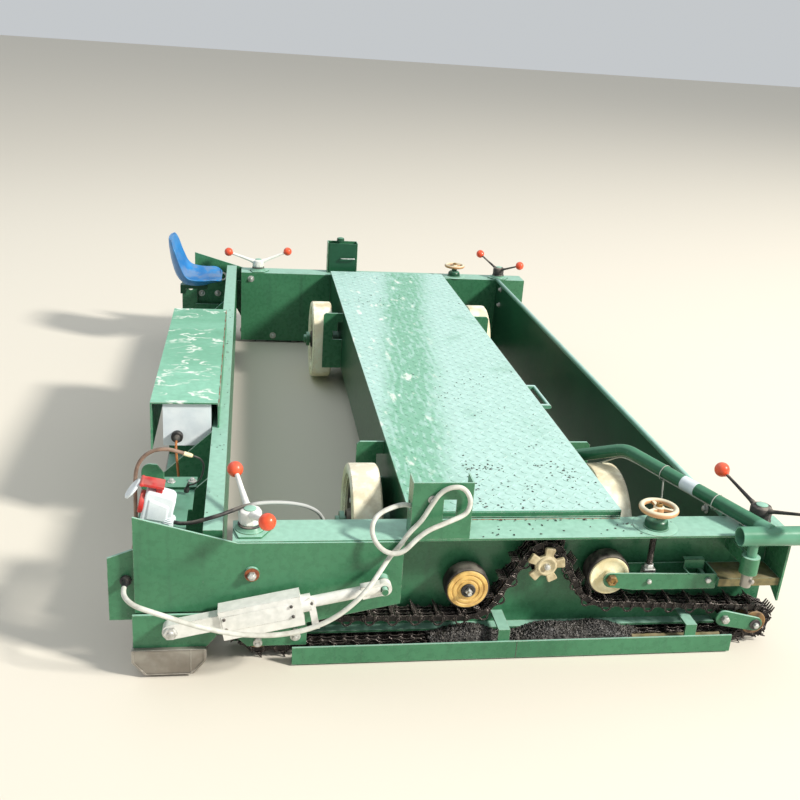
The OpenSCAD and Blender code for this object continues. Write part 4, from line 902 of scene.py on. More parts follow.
# %% The handwheels with their domes and pads
put("handwheels", both_ends(join(rim, spokes, hand_hub)), handwheel_paint, bevel=0.0008,
    replaces=["handwheels"])
top_nut = placed(nut(0.017, 0.009, hole=0.0045), (screw_x, screw_y, rim_z + 0.0065))
put("handwheel_nuts", both_ends(top_nut), brass_nut, bevel=0.0006)
dome = lathe([(0.0355, 0.383), (0.0355, 0.3865), (0.0325, 0.388), (0.0322, 0.399), (0.0300, 0.406),
              (0.0245, 0.4115), (0.0170, 0.4138), (0.0145, 0.4145), (0.0138, 0.433)],
             at=(screw_x, screw_y, 0), axis="z", sides=48)
foot_pad = lathe([(0.0620, 0.3830), (0.0620, 0.3842), (0.0610, 0.3848), (0.0340, 0.3850)],
                 at=(screw_x, screw_y + 0.006, 0), axis="z", sides=64)
put("handwheel_pads", both_ends(foot_pad), green_paint)
# The domes get the darker copy of the green paint: painted shade.
put("handwheel_domes", both_ends(dome), shade_green)

# %% The screw under the flange, and the clevis that it pushes
turns_of_thread = np.linspace(0, 1, 260)
screw_low, screw_high, thread_count = 0.251, 0.377, 30
screw_heights = screw_low + (screw_high - screw_low) * turns_of_thread
screw_radii = 0.0078 + 0.0010 * np.sign(np.sin(turns_of_thread * full_turn * thread_count))
screw = lathe(np.column_stack([screw_radii, screw_heights]), at=(screw_x, screw_y, 0), axis="z", sides=16)
put("tension_screws", both_ends(screw), chain_steel)
clevis = join(block(screw_x - 0.016, screw_x + 0.016, screw_y - 0.013, screw_y - 0.008, 0.2065, 0.252),
              block(screw_x - 0.016, screw_x + 0.016, screw_y + 0.008, screw_y + 0.013, 0.2065, 0.252),
              block(screw_x - 0.016, screw_x + 0.016, screw_y - 0.013, screw_y + 0.013, 0.246, 0.256),
              placed(nut(0.024, 0.012, hole=0.0078), (screw_x, screw_y, 0.256)))
put("tension_clevises", both_ends(clevis), zinc, bevel=0.0012)

# %% [markdown]
# ## Ball levers
# Two-ball levers turn the lifting screws at the four corners. A faceted hub with a green cap
# stands on a green cone, and that on a raised hexagonal pad, which is cut short at the rear so
# that the screed's tube passes it. The rear hubs and arms are white, the front ones are dark and
# thinner, and the balls are glossy orange plastic with a flat foot where the arm enters.

# %% Lever hubs, arms, balls and pads
lever_spots = [(-0.606, -1.436, 105), (-0.562, 1.436, 10), (0.815, -1.436, 112), (0.752, 1.436, 120)]
flange_z, hub_mid_z, lean, reach, ball_r = 0.383, 0.425, math.radians(21), 0.168, 0.0219
arms, front_arms, balls, hubs, front_hubs, caps, cones, pads, dark_rings = [[] for _ in range(9)]
for x, y, turn in lever_spots:
    at = (x, y, 0)
    arms_here, hubs_here = (arms, hubs) if x < 0 else (front_arms, front_hubs)
    hubs_here.append(lathe([(0.0255, 0.404), (0.030, 0.408), (0.0305, 0.434), (0.0285, 0.440),
                            (0.0225, 0.4435), (0.002, 0.444)], at=at, axis="z", sides=10))
    caps.append(lathe([(0.0165, 0.4425), (0.0165, 0.4452), (0.0145, 0.4464), (0.002, 0.4466)], at=at,
                      axis="z", sides=32))
    dark_rings.append(lathe([(0.031, 0.3985), (0.032, 0.4005), (0.032, 0.4025), (0.0305, 0.4042)], at=at,
                            axis="z", sides=40))
    cones.append(lathe([(0.040, 0.386), (0.0395, 0.390), (0.0355, 0.393), (0.0310, 0.3995), (0.026, 0.4045)],
                       at=at, axis="z", sides=48))
    outline = arc(0, 0, 0.0585, 0, 360, 7)[:-1]
    outline[:, 0] = np.maximum(outline[:, 0], -0.044 if x < 0 else -0.0585)
    pads.append(placed(plate(outline, flange_z, flange_z + 0.0055, "z"), (x, y, 0)))
    for half in (0, 180):
        a = math.radians(turn + half)
        aim = np.array([math.cos(a) * math.cos(lean), math.sin(a) * math.cos(lean), math.sin(lean)])
        foot = np.array([x, y, hub_mid_z])
        slim = 1.0 if x < 0 else 0.66
        arms_here.append(placed(lathe([(0.0120 * slim, 0.018), (0.0110 * slim, 0.036), (0.0088 * slim, 0.044),
                                       (0.0070 * slim, 0.100), (0.0064 * slim, reach - 0.018)], axis="z",
                                      sides=20), foot, facing(aim)))
        bend_angles = np.linspace(math.radians(-72), math.radians(90), 22)
        profile = np.column_stack([ball_r * np.cos(bend_angles), reach + ball_r * np.sin(bend_angles)])
        profile[-1, 0] = 0.0004
        collar = [(0.0066, reach - 0.0222), (0.0080, reach - 0.0222)]
        balls.append(placed(lathe(np.concatenate([collar, profile]), axis="z", sides=36), foot, facing(aim)))
print("levers:", len(lever_spots), "with", len(balls), "balls")

# %% The levers' pieces
put("lever_hubs", join(*hubs, *arms), white_paint, bevel=0.001, replaces=["ball_levers"])
put("front_lever_hubs", join(*front_hubs, *front_arms), dark_iron, bevel=0.001)
put("lever_balls", join(*balls), ball_plastic, replaces=["lever_balls"])
put("lever_caps", join(*caps), green_paint)
put("lever_cones", join(*cones, *pads), green_paint, bevel=0.0012)
put("lever_rings", join(*dark_rings), dark_iron)

# %% [markdown]
# ## Checker plate
# The walkway over the hopper is made of checker plate. Its sheet carries low lozenges, each
# turned at right angles to its neighbours, so that the plate grips in every direction. One
# lozenge is a six-sided outline with a smaller one on top, and copies of it fill the deck.

# %% Lozenges on the deck
deck_top, deck_rear, deck_front, deck_end = 0.405, -0.180, 0.425, 1.3847
lozenge_pitch = 0.0285
low_outline = np.array([(-0.0125, 0), (-0.0045, -0.0036), (0.0045, -0.0036), (0.0125, 0), (0.0045, 0.0036),
                        (-0.0045, 0.0036)])
lozenge = (np.concatenate([np.column_stack([low_outline, np.full(6, -0.0002)]),
                           np.column_stack([low_outline * [0.72, 0.5], np.full(6, 0.0013)])]),
           [grid_faces(2, 6, False, True), np.arange(6, 12).reshape(1, 6)])
columns = np.arange(deck_rear + 0.017, deck_front - 0.014, lozenge_pitch)
rows_of_deck = np.arange(-deck_end + 0.017, deck_end - 0.014, lozenge_pitch)
across_deck, along_deck = np.meshgrid(np.arange(len(columns)), np.arange(len(rows_of_deck)), indexing="ij")
quarter = np.where((across_deck + along_deck).ravel() % 2 == 0, math.radians(42), math.radians(-48))
flat_turns = np.zeros((len(quarter), 3, 3))
flat_turns[:, 0, 0] = flat_turns[:, 1, 1] = np.cos(quarter)
flat_turns[:, 1, 0], flat_turns[:, 0, 1], flat_turns[:, 2, 2] = np.sin(quarter), -np.sin(quarter), 1
lozenge_places = np.column_stack([columns[across_deck.ravel()], rows_of_deck[along_deck.ravel()],
                                  np.full(len(quarter), deck_top)])
print("lozenges:", len(quarter))

# %% [markdown]
# ## The walkway's finish
# A darker green band over the deck is painted reflection, with pale scuffs on it; the rest is
# pale from sun bleaching and painted sunlight, a cool pale tone. The band is soft and slightly
# oblique in the piece's own coordinates, broken up by noise and mixed over the worn paint's colour.

# %% The deck's paint with its painted reflection
def deck_finish():
    """Pale worn paint; a ramp on x and noise make the band of painted reflection, and finer noise makes the
    scuffs.
    """
    made = paint_finish("deck_paint", srgb(110, 168, 140), srgb(98, 158, 130), srgb(184, 219, 213),
                        under=srgb(238, 244, 238), sun=0.92, wear=0.5, streaks=0.15, gloss=0.26,
                        stone_chips=0.5, slot="pale_green_paint")
    tree, colour, base_input = opened(made)
    place = add(tree, "TexCoord").outputs["Object"]
    across, along = (part_of(tree, place, axis) for axis in "XY")
    wander = times(tree, calc(tree, "SUBTRACT", noise(tree, place, 2.2, 3.0), 0.5), 0.10)
    oblique = times(tree, calc(tree, "ADD", along, 1.2), -0.133)
    moved = calc(tree, "ADD", calc(tree, "ADD", across, wander), oblique)
    # Painted reflection: a soft oblique band of darker green stands for a reflection in the glossy deck.
    painted_reflection = times(tree, ramp(tree, moved, -0.28, -0.15), ramp(tree, moved, 0.03, -0.12))
    reflection_breakup = noise(tree, place, 1.0, 5.0, stretch=(70.0, 14.0, 30.0))
    painted_reflection = times(tree, painted_reflection, calc(tree, "ADD", 0.45, ramp(tree, reflection_breakup, 0.35, 0.6)), clamp=True)
    colour = mixed(tree, times(tree, painted_reflection, 0.66), colour, srgb(86, 160, 120))
    scuffs = ramp(tree, noise(tree, place, 1.0, 6.0, stretch=(24.0, 9.0, 10.0)), 0.60, 0.70)
    close_in = ramp(tree, moved, 0.02, -0.12)
    colour = mixed(tree, times(tree, times(tree, scuffs, close_in), 0.75), colour, srgb(232, 240, 230))
    wire(tree, colour, base_input)
    return made


deck_paint = deck_finish()
give_finish("deck_cover", deck_paint)
put("deck_lozenges", copies(lozenge, lozenge_places, flat_turns), deck_paint, smooth=0)

# %% [markdown]
# ## Edges of the deck and of the end frames
# The deck's sheet is turned down at its ends, and the fold closes the gap above the end frame.
# A thin rusty seam runs along the frame's inner edge, where the weld was never painted.

# %% Turned-down ends, welds and the seam
deck_fold = join(block(deck_rear + 0.002, deck_front - 0.002, -1.3843, -1.3785, 0.3835, 0.3990),
                 lathe([(0.0012, deck_rear + 0.003), (0.0012, deck_front - 0.003)], at=(0, -1.3850, 0.3862),
                       axis="x", sides=8))
put("deck_folds", both_ends(deck_fold), green_paint, bevel=0.0012)
rust = raw_finish("rusty_weld", srgb(150, 84, 48), srgb(98, 52, 34), srgb(206, 150, 110), rub_width=0.001,
                  rub=0.4, grain=700.0, patches=60.0, dust_cover=0.3, rough=0.7, slot="motor_iron")
seam_x = np.linspace(-0.004, 0.420, 60)
seam_r = 0.0011 + 0.0006 * np.sin(seam_x * 310) * np.sin(seam_x * 57)
seam = tube(np.column_stack([seam_x, np.full(60, -1.3938), np.full(60, 0.3834)]), seam_r, 8)
put("frame_seams", both_ends(seam), rust)
guard_joint = block(0.1304, 0.1318, -1.5005, -1.4990, 0.0060, 0.0575)
put("guard_joints", both_ends(guard_joint), dark_iron)

# %% [markdown]
# ## Spilled granules
# The machine spreads rubber granules 1 to 4 mm in size, and a few always stay on the deck, the
# ledges and behind the guard rails. One granule is an octahedron whose six corners are moved at
# random and whose axes are stretched at random. All of them are made in one array.

# %% Granules from one array
chance = np.random.default_rng(11)


def granules(places, low=0.0012, high=0.0026, flat=0.7):
    """Corners at plus and minus one on each axis, times three random half sizes, turned about z."""
    places = np.asarray(places, float)
    n = len(places)
    corners = np.array([(1, 0, 0), (0, 1, 0), (-1, 0, 0), (0, -1, 0), (0, 0, 1), (0, 0, -1)], float)
    points = corners[None] + chance.uniform(-0.28, 0.28, (n, 6, 3))
    points = points * chance.uniform(low, high, (n, 1, 3)) * [1.3, 1.0, flat]
    a = chance.uniform(0, full_turn, n)
    c, s = np.cos(a)[:, None], np.sin(a)[:, None]
    points = np.stack([points[..., 0] * c - points[..., 1] * s, points[..., 0] * s + points[..., 1] * c,
                       points[..., 2]], -1)
    faces = np.array([(0, 1, 4), (1, 2, 4), (2, 3, 4), (3, 0, 4), (1, 0, 5), (2, 1, 5), (3, 2, 5), (0, 3, 5)])
    return ((points + places[:, None]).reshape(-1, 3),
            [(faces[None] + 6 * np.arange(n)[:, None, None]).reshape(-1, 3)])


print("random draws start from a fixed seed, so each run gives the same granules")

# %% Granules strewn over the deck and the ledges
def strewn(count, x0, x1, y0, y1, z, clusters=0, spread=0.03):
    """Random places on a level rectangle; a share of them gathers round random cluster centres."""
    spots = np.column_stack([chance.uniform(x0, x1, count), chance.uniform(y0, y1, count)])
    if clusters:
        centres = spots[chance.integers(0, count, clusters)]
        gathered = chance.integers(0, clusters, count // 2)
        spots[:count // 2] = centres[gathered] + chance.normal(0, spread, (count // 2, 2))
    inside = (spots[:, 0] > x0) & (spots[:, 0] < x1) & (spots[:, 1] > y0) & (spots[:, 1] < y1)
    spots = spots[inside]
    return np.column_stack([spots, np.full(len(spots), z)])


on_deck = np.concatenate([strewn(130, 0.02, 0.41, -1.375, -1.05, deck_top + 0.0012, clusters=9, spread=0.022),
                          strewn(50, 0.0, 0.41, -1.05, -0.2, deck_top + 0.0012, clusters=5, spread=0.05),
                          strewn(50, -0.15, 0.41, 0.5, 1.37, deck_top + 0.0012, clusters=5, spread=0.05)])
on_flange = np.concatenate([strewn(34, 0.0, 0.70, -1.492, -1.398, 0.3844, clusters=6, spread=0.02),
                            strewn(40, 0.0, 0.42, -1.4060, -1.3955, 0.3844, clusters=6, spread=0.02)])
strewn(40, 0.7355, 0.7410, -0.6, 0.6, 0.3912, clusters=4, spread=0.03)   # not used, but later draws follow it
on_tube_top = strewn(60, -0.722, -0.678, -1.44, 0.6, 0.4010, clusters=8, spread=0.02)
put("loose_granules", granules(np.concatenate([on_deck, on_flange]), 0.0014, 0.0042, 0.5), granule_rubber,
    smooth=0)
put("screed_granules", granules(on_tube_top), granule_rubber, "screed", smooth=0)
print("loose granules:", len(on_deck) + len(on_flange))

# %% [markdown]
# ## Granules behind the guard rail
# Spilled granules gather between the guard rail and the web, over the lower run of the chain.
# Each bank is a closed mound: its height along x and across y is a product of two smooth curves
# plus noise, and loose granules lie on it. Towards the front only dust is left.

# %% A bank
def bank(x0, x1, y0, y1, low, crest, steps_x, steps_y, ripple):
    """Height = low + crest(x) times sin(pi v) to the power 0.4 across the bank, plus a ripple."""
    u, v = np.meshgrid(np.linspace(0, 1, steps_x), np.linspace(0, 1, steps_y), indexing="ij")
    x, y = x0 + (x1 - x0) * u, y0 + (y1 - y0) * v
    height = low + crest(x) * (np.sin(np.pi * np.clip(v, 0.02, 0.98)) ** 0.4)
    height = height + ripple * np.sin(x * 190 + 3 * np.sin(y * 90)) * np.sin(y * 260 + 2 * np.sin(x * 70))
    top = np.stack([x, y, height], -1).reshape(-1, 3)
    foot = top * [1, 1, 0] + [0, 0, low - 0.004]
    n = steps_x * steps_y
    around = np.concatenate([np.arange(steps_y), np.arange(1, steps_x) * steps_y + steps_y - 1,
                             n - 2 - np.arange(steps_y - 1), (np.arange(steps_x - 2, 0, -1)) * steps_y])
    walls = np.stack([around, np.roll(around, -1), np.roll(around, -1) + n, around + n], 1)
    sheet = grid_faces(steps_x, steps_y)
    return np.concatenate([top, foot]), [sheet, sheet[:, ::-1] + n, walls]


print("a bank of 3 by 4 points has", len(bank(0, 1, 0, 1, 0, np.sin, 3, 4, 0)[0]), "points")

# %% The heap of granules over the chain
def high_crest(x):
    """Two hills over the chain that fall away between them and at both ends."""
    first = np.exp(-((x + 0.01) / 0.080) ** 2)
    second = np.exp(-np.abs((x - 0.31) / 0.170) ** 2.6)
    return 0.010 + 0.036 * np.maximum(first, second) * (0.86 + 0.14 * np.sin(x * 37))


bank_steps = (150, 16)
spill = bank(-0.110, 0.500, -1.4735, -1.398, 0.030, high_crest, *bank_steps, 0.0018)
spill_places = spill[0][:math.prod(bank_steps)]
spill_places = spill_places[chance.integers(0, len(spill_places), 3000)]
spill_places = spill_places + chance.uniform(-0.002, 0.002, spill_places.shape) * [1, 1, 0.4] + [0, 0, 0.0006]
spill_places = spill_places[(spill_places[:, 1] > -1.4725) & (spill_places[:, 1] < -1.3985)]
heap = join(spill, granules(spill_places, 0.0018, 0.0042, 1.0))
put("guard_granules", both_ends(heap), granule_rubber, smooth=0)
print("granules behind the guard:", len(spill_places))

# %% Dust on the ledges towards the front
dust = raw_finish("track_dust", srgb(122, 112, 76), srgb(92, 88, 62), srgb(176, 166, 128), rub_width=0.001,
                  rub=0.3, grain=600.0, patches=45.0, dust=(0.30, 0.25, 0.16, 1), dust_cover=0.5, rough=0.85,
                  depth=0.0008, slot="motor_iron")
rail_dust = bank(0.480, 0.748, -1.4735, -1.4560, 0.030, lambda x: 0.017 + 0 * x, 60, 8, 0.0009)
shelf_dust = bank(0.703, 0.881, -1.4865, -1.3965, 0.2381, lambda x: 0.0012 + 0 * x, 40, 20, 0.0003)
shelf_front = block(0.7005, 0.8835, -1.4894, -1.4882, 0.2150, 0.2386)
put("ledge_dust", both_ends(join(rail_dust, placed(shelf_dust, (0, 0, 0.0001)), shelf_front)), dust,
    smooth=60)

# %% [markdown]
# ## The rear corner
# Behind the side plate a shelf carries the machine's power socket, a white plastic housing with a
# red collar and a red lid. A ribbed nut holds its black lead, which crosses to the end frame and
# goes through a gland. A brown conduit brings a thin lead over from the control side.

# %% Shelf, rounded back plate and terminal plate
shelf_z = 0.392
shelf = join(block(-0.893, -0.768, -1.4995, -1.348, shelf_z, shelf_z + 0.006),
             block(-0.858, -0.757, -1.349, -1.170, shelf_z, shelf_z + 0.006),
             block(-0.850, -0.752, -1.232, -1.166, 0.401, 0.407),
             block(-0.850, -0.752, -1.1705, -1.166, 0.380, 0.402),
             block(-0.884, -0.768, -1.4995, -1.4945, 0.352, 0.393))
back_outline = np.concatenate([[(-0.888, 0.392), (-0.886, 0.490)], arc(-0.862, 0.508, 0.024, 180, 95, 7),
                               [(-0.846, 0.530), (-0.828, 0.505), (-0.826, 0.392)]])
# The shelf gets the darker copy of the green paint: painted shade.
put("socket_shelf", shelf, shade_green, bevel=0.0012)
put("rounded_back_plate", plate(back_outline, -1.352, -1.3475), green_paint, bevel=0.0010)
terminal_bolts = [placed(bolt(0.012), (x, y, 0.407)) for x, y in [(-0.822, -1.200), (-0.765, -1.196)]]
put("terminal_bolts", join(*terminal_bolts), zinc, bevel=0.0004)

# %% The socket's housing, collar and lid
def leant(angle):
    """The turn that leans a shape back about y by an angle in radians."""
    c, s = math.cos(angle), math.sin(angle)
    return np.array([(c, 0, s), (0, 1, 0), (-s, 0, c)])


socket_lean, lid_lean = 0.20, 0.5
socket_middle = np.array([-0.838, -1.430, 0.450])


def at_socket(shape):
    """Leans a shape back and sets it on the shelf."""
    return placed(shape, socket_middle, leant(socket_lean))


housing_outline = np.concatenate([[(0.034, -0.044), (0.040, -0.030), (0.040, 0.010)],
                                  arc(0.026, 0.026, 0.015, 10, 80, 5),
                                  [(-0.030, 0.048), (-0.036, 0.040), (-0.038, -0.040), (-0.030, -0.046)]])
housing = join(plate(housing_outline, -0.0265, 0.0265),
               plate([(-0.026, -0.030), (0.028, -0.030), (0.028, 0.016), (-0.026, 0.030)], -0.0295, 0.0),
               block(-0.030, 0.034, -0.020, 0.020, -0.056, -0.044))
socket_housing = put("socket_housing", at_socket(housing), box_plastic, bevel=0.0050, bevel_steps=4)
collar = join(lathe([(0.0200, -0.036), (0.0290, -0.036), (0.0300, -0.040), (0.0300, -0.047), (0.0270, -0.049),
                     (0.0240, -0.047), (0.0240, -0.038)], at=(0, 0, 0.006), axis="x", sides=40, ring=True),
              block(-0.052, 0.006, -0.024, 0.024, 0.058, 0.066),
              block(-0.012, 0.004, -0.017, 0.017, 0.044, 0.060),
              lathe([(0.005, -0.026), (0.005, 0.026)], at=(-0.050, 0, 0.062), axis="y", sides=16))
socket_collar = put("socket_collar", at_socket(collar), red_plastic, bevel=0.0016)
lid = placed(lathe([(0.0020, -0.003), (0.0260, -0.003), (0.0300, 0.000), (0.0300, 0.004), (0.0240, 0.006),
                    (0.0020, 0.006)], at=(0, 0, -0.026), axis="x", sides=40),
             (-0.058, 0, 0.060), leant(lid_lean))
socket_lid = put("socket_lid", at_socket(lid), box_plastic, bevel=0.0010)

# %% The ribbed nut of the socket's lead
rib_points = 48
rib_turns = np.arange(rib_points) / rib_points * full_turn
rib_r = 0.0165 + 0.0010 * np.tile([1, -1], rib_points // 2)


def ribbed(shape_at, heights):
    """A nut with ribs: the radius goes up and down round the axis, and is scaled at each height."""
    scales, steps = np.array(heights).T
    rows = scales[:, None] * rib_r
    points = np.stack([rows * np.cos(rib_turns), rows * np.sin(rib_turns),
                       np.repeat(steps[:, None], rib_points, 1)], -1).reshape(-1, 3)
    around = np.arange(rib_points)
    faces = [grid_faces(len(steps), rib_points, False, True),
             np.stack([around, len(points) - rib_points + around])]
    return placed((points, faces), shape_at, facing(nut_way))


lead_exit = np.array([-0.790, -1.452, 0.413])
nut_way = np.array([0.95, -0.28, -0.12])
ribbed_nut = ribbed(lead_exit - 0.032 * nut_way, [(0.90, 0.0), (1.0, 0.003), (1.0, 0.019), (0.80, 0.024)])
socket_nut = put("socket_lead_nut", ribbed_nut, box_plastic)
print("socket on its shelf at", socket_middle)

# %% [markdown]
# ## Leads of the corner
# The black lead leaves the ribbed nut, passes outside the screed's tube, which moves, and lies
# behind the lever's hub before it turns down to a gland on the end frame. It is stiff enough to
# stand in a low arch. The conduit is a rigid bent pipe.

# %% The black lead with its gland
lead_stops = [(-0.396, -1.3845, 0.268), (-0.396, -1.365, 0.268), (-0.396, -1.345, 0.268),
              (-0.396, -1.321, 0.2744), (-0.3965, -1.3034, 0.292), (-0.399, -1.297, 0.316),
              (-0.405, -1.3005, 0.339), (-0.417, -1.310, 0.362), (-0.434, -1.323, 0.382),
              (-0.462, -1.341, 0.403), (-0.500, -1.360, 0.420), (-0.545, -1.379, 0.432),
              (-0.586, -1.398, 0.439), (-0.620, -1.423, 0.444), (-0.650, -1.452, 0.447),
              (-0.682, -1.473, 0.445), (-0.716, -1.479, 0.437), (-0.746, -1.473, 0.425),
              (-0.770, -1.462, 0.4165), lead_exit + 0.004 * nut_way, lead_exit - 0.016 * nut_way]
lead_path = smooth_path(lead_stops, 6)
lead_r = 0.0052
lead_finish = copied(black_plastic, "faded_lead")
tree, black_tone, base_input = opened(lead_finish)
lead_x = part_of(tree, add(tree, "TexCoord").outputs["Object"], "X")
wire(tree, mixed(tree, ramp(tree, lead_x, -0.62, -0.58), black_tone, srgb(176, 178, 176)), base_input)
lead = put("socket_lead", tube(lead_path, lead_r, 14), lead_finish, smooth=60)
frame_gland = join(lathe([(0.0055, 0.0), (0.0062, 0.004), (0.0085, 0.012), (0.0115, 0.013), (0.0115, 0.023),
                          (0.0135, 0.024)], axis="z", sides=24), placed(nut(0.024, 0.006), (0, 0, 0.0225)))
gland_in_web = put("frame_gland", placed(frame_gland, (-0.396, -1.3565, 0.268), facing((0, -1, 0))),
                   black_plastic)

# %% The bent conduit and its thin lead
over_way = np.array([0.93, 0.10, -0.36])
conduit_stops = [(-0.900, -1.4780, 0.335), (-0.900, -1.460, 0.335), (-0.900, -1.440, 0.337),
    (-0.899, -1.420, 0.346), (-0.898, -1.405, 0.366), (-0.897, -1.400, 0.395), (-0.897, -1.400, 0.450),
    (-0.896, -1.400, 0.505), (-0.890, -1.400, 0.545), (-0.874, -1.398, 0.572), (-0.850, -1.396, 0.588),
    (-0.820, -1.394, 0.592), (-0.790, -1.392, 0.585), (-0.757, -1.388, 0.572)]
conduit_path = smooth_path(conduit_stops, 6)
conduit_r = np.interp(np.linspace(0, 1, len(conduit_path)), [0, 0.90, 0.91, 1],
                      [0.0050, 0.0050, 0.0046, 0.0044])
conduit_finish = raw_finish("brown_conduit", srgb(140, 116, 100), srgb(112, 92, 80), srgb(206, 190, 176),
    rub_width=0.001, rub=0.3, grain=420.0, patches=35.0, dust_cover=0.25, rough=0.5, slot="motor_iron")
conduit = put("bent_conduit", tube(conduit_path, conduit_r, 14), conduit_finish, smooth=60)
sleeve_shape = lathe([(0.0030, 0.0), (0.0056, 0.001), (0.0056, 0.018), (0.0046, 0.024), (0.0030, 0.025)],
                     axis="z", sides=20)
sleeve = put("conduit_sleeve", placed(sleeve_shape, conduit_path[-1] - 0.020 * over_way, facing(over_way)),
             cream_hub)
thin_path = np.concatenate([conduit_path, smooth_path([conduit_path[-1] + 0.004 * over_way,
    conduit_path[-1] + 0.014 * over_way, (-0.733, -1.378, 0.556), (-0.727, -1.356, 0.530),
    (-0.731, -1.330, 0.494), (-0.742, -1.304, 0.460), (-0.757, -1.282, 0.440), (-0.771, -1.266, 0.428),
    (-0.777, -1.261, 0.414)], 6)])
thin_lead = put("thin_lead", tube(thin_path, 0.0026, 10), black_plastic, smooth=60)
small_plug = lathe([(0.0072, 0.0), (0.0072, 0.009), (0.0060, 0.011), (0.0044, 0.018), (0.0028, 0.032)],
                   axis="z", sides=16)
thin_plug = put("thin_lead_plug", placed(small_plug, (-0.778, -1.260, 0.4068), facing((0.20, -0.28, 0.94))),
                black_plastic)

# %% [markdown]
# ## Bolts and covers of the side
# The hinge ends in a bright bolt with a dark washer. The actuator's flat case gets its screwed
# cover and an angle bracket at its front end, and the frame at the rear idler has a square guard
# plate with two bright bolts.

# %% Hinge bolts and washers, and the idler's guard plate
hinge_bolt = outward(bolt(0.0200, washer=False), -0.600, 1.5160, 0.294)
hinge_washer = outward(lathe([(0.0190, 0.0), (0.0190, 0.0014), (0.0140, 0.0024), (0.0060, 0.0024)], axis="z",
                             sides=28), -0.600, 1.5140, 0.294)
put("hinge_washers", both_ends(hinge_washer), rust)
put("hinge_bolts", both_ends(hinge_bolt), zinc, bevel=0.0006)
guard_plate = plate([(-0.640, 0.130), (-0.452, 0.130), (-0.452, 0.054), (-0.610, 0.054), (-0.640, 0.084)],
                    -1.4800, -1.4768)
put("idler_guard_plates", both_ends(guard_plate), green_paint, bevel=0.0008)
guard_bolts = join(outward(bolt(0.013), -0.582, 1.4800, 0.064), outward(bolt(0.015), -0.482, 1.4800, 0.082))
put("guard_plate_bolts", both_ends(guard_bolts), zinc, bevel=0.0004)

# %% Actuator covers, top bolts and the angle bracket
slope = math.radians(11.7)
case_along = np.array([math.cos(slope), 0.0, math.sin(slope)])
case_up = np.array([-math.sin(slope), 0.0, math.cos(slope)])
pin_x, pin_z, middle_x = -0.803, 0.157, -0.582        # the rear pin, and the case's middle
case_middle = np.array([middle_x, 0.0, pin_z + (middle_x - pin_x) * math.tan(slope)])


def on_case(shape):
    """Shapes drawn level and centred on the case are turned to the actuator's slope."""
    turn = np.stack([case_along, (0.0, 1.0, 0.0), case_up], 1)
    return placed(shape, case_middle, turn)


case_cover = plate([(-0.094, -0.024), (0.094, -0.024), (0.094, 0.020), (-0.094, 0.020)], -1.5696, -1.5684)
cover_screws = [placed(bolt(0.0075, washer=False), (x, -1.5694, z), facing((0, -1, 0)))
                for x, z in [(-0.086, 0.013), (0.086, 0.013), (-0.086, -0.017), (0.086, -0.017)]]
angle_bracket = join(plate([(0.090, 0.006), (0.136, 0.022), (0.146, 0.014), (0.146, -0.074), (0.128, -0.074),
                            (0.128, -0.002), (0.090, -0.010)], -1.5620, -1.5590),
                     plate([(0.0955, -0.012), (0.1000, -0.012), (0.1000, 0.012), (0.0955, 0.012)],
                           -1.5620, -1.5400))
bracket_bolts = [placed(bolt(0.0080, washer=False), (x, -1.5620, z), facing((0, -1, 0)))
                 for x, z in [(0.137, 0.006), (0.137, -0.062)]]
end_turns = {"r": lambda shape: shape, "l": other_end}
for side, turn_side in end_turns.items():
    body = "actuator_body_" + side
    put("case_cover_" + side, turn_side(on_case(case_cover)), white_paint, body, bevel=0.0006)
    put("case_bracket_" + side, turn_side(on_case(angle_bracket)), white_paint, body, bevel=0.0006)
    put("case_screws_" + side, turn_side(on_case(join(*cover_screws, *bracket_bolts))), dark_iron, body)

# %% [markdown]
# ## Tension arms and the handle's pin
# Each tension arm is a bent channel with bolts through both sides and a small angle piece for its
# stop. The guide handle's pin shows as bare steel under its green sleeve, with a cross bolt.

# %% Bolts of the tension arms, the stop angle and the pin
arm_bolts_out = join(*[outward(bolt(a, w), x, 1.4760, z) for x, z, a, w in
                       [(0.498, 0.2285, 0.0125, False), (0.6730, 0.2300, 0.0150, False)]])
put("arm_bolts", both_ends(arm_bolts_out), zinc, bevel=0.0005)
stop_angle = join(block(0.612, 0.672, -1.4430, -1.4405, 0.247, 0.2765),
                  block(0.612, 0.672, -1.4430, -1.4250, 0.2745, 0.2765),
                  block(0.612, 0.617, -1.4760, -1.4405, 0.2465, 0.2505))
put("stop_angles", both_ends(stop_angle), green_paint, bevel=0.0008)
socket_x, handle_y = 0.758, -1.5273
pin_skin = lathe([(0.0142, 0.2395), (0.0150, 0.2420), (0.0152, 0.2815), (0.0142, 0.2825)],
                 at=(socket_x, handle_y, 0), axis="z", sides=32)
pin_bolt = placed(bolt(0.013, washer=False), (socket_x + 0.006, handle_y - 0.0140, 0.262),
                  facing((0.35, -0.93, 0)))
put("handle_pin_skin", join(pin_skin, pin_bolt), ground_steel, bevel=0.0006)

# %% [markdown]
# ## The pan's rim and the seat
# The ironing pan is a folded steel tray: its end shows a bright worn rim, a step and a fold line.
# The seat is a moulded blue bucket. Its section is a smooth curve from the back's rim down to
# the front lip, and its sides curl upwards, as a grid of height over width.

# %% Rim of the ironing pan's ends
pan_outline = [(-0.905, 0.085), (-0.905, 0.050), (-0.872, 0.010), (-0.748, 0.010), (-0.715, 0.050),
               (-0.715, 0.085)]


def inset(outline, share, middle=(-0.810, 0.050)):
    """The outline drawn in towards its middle by a share."""
    o, m = np.asarray(outline, float), np.asarray(middle, float)
    return m + (o - m) * share


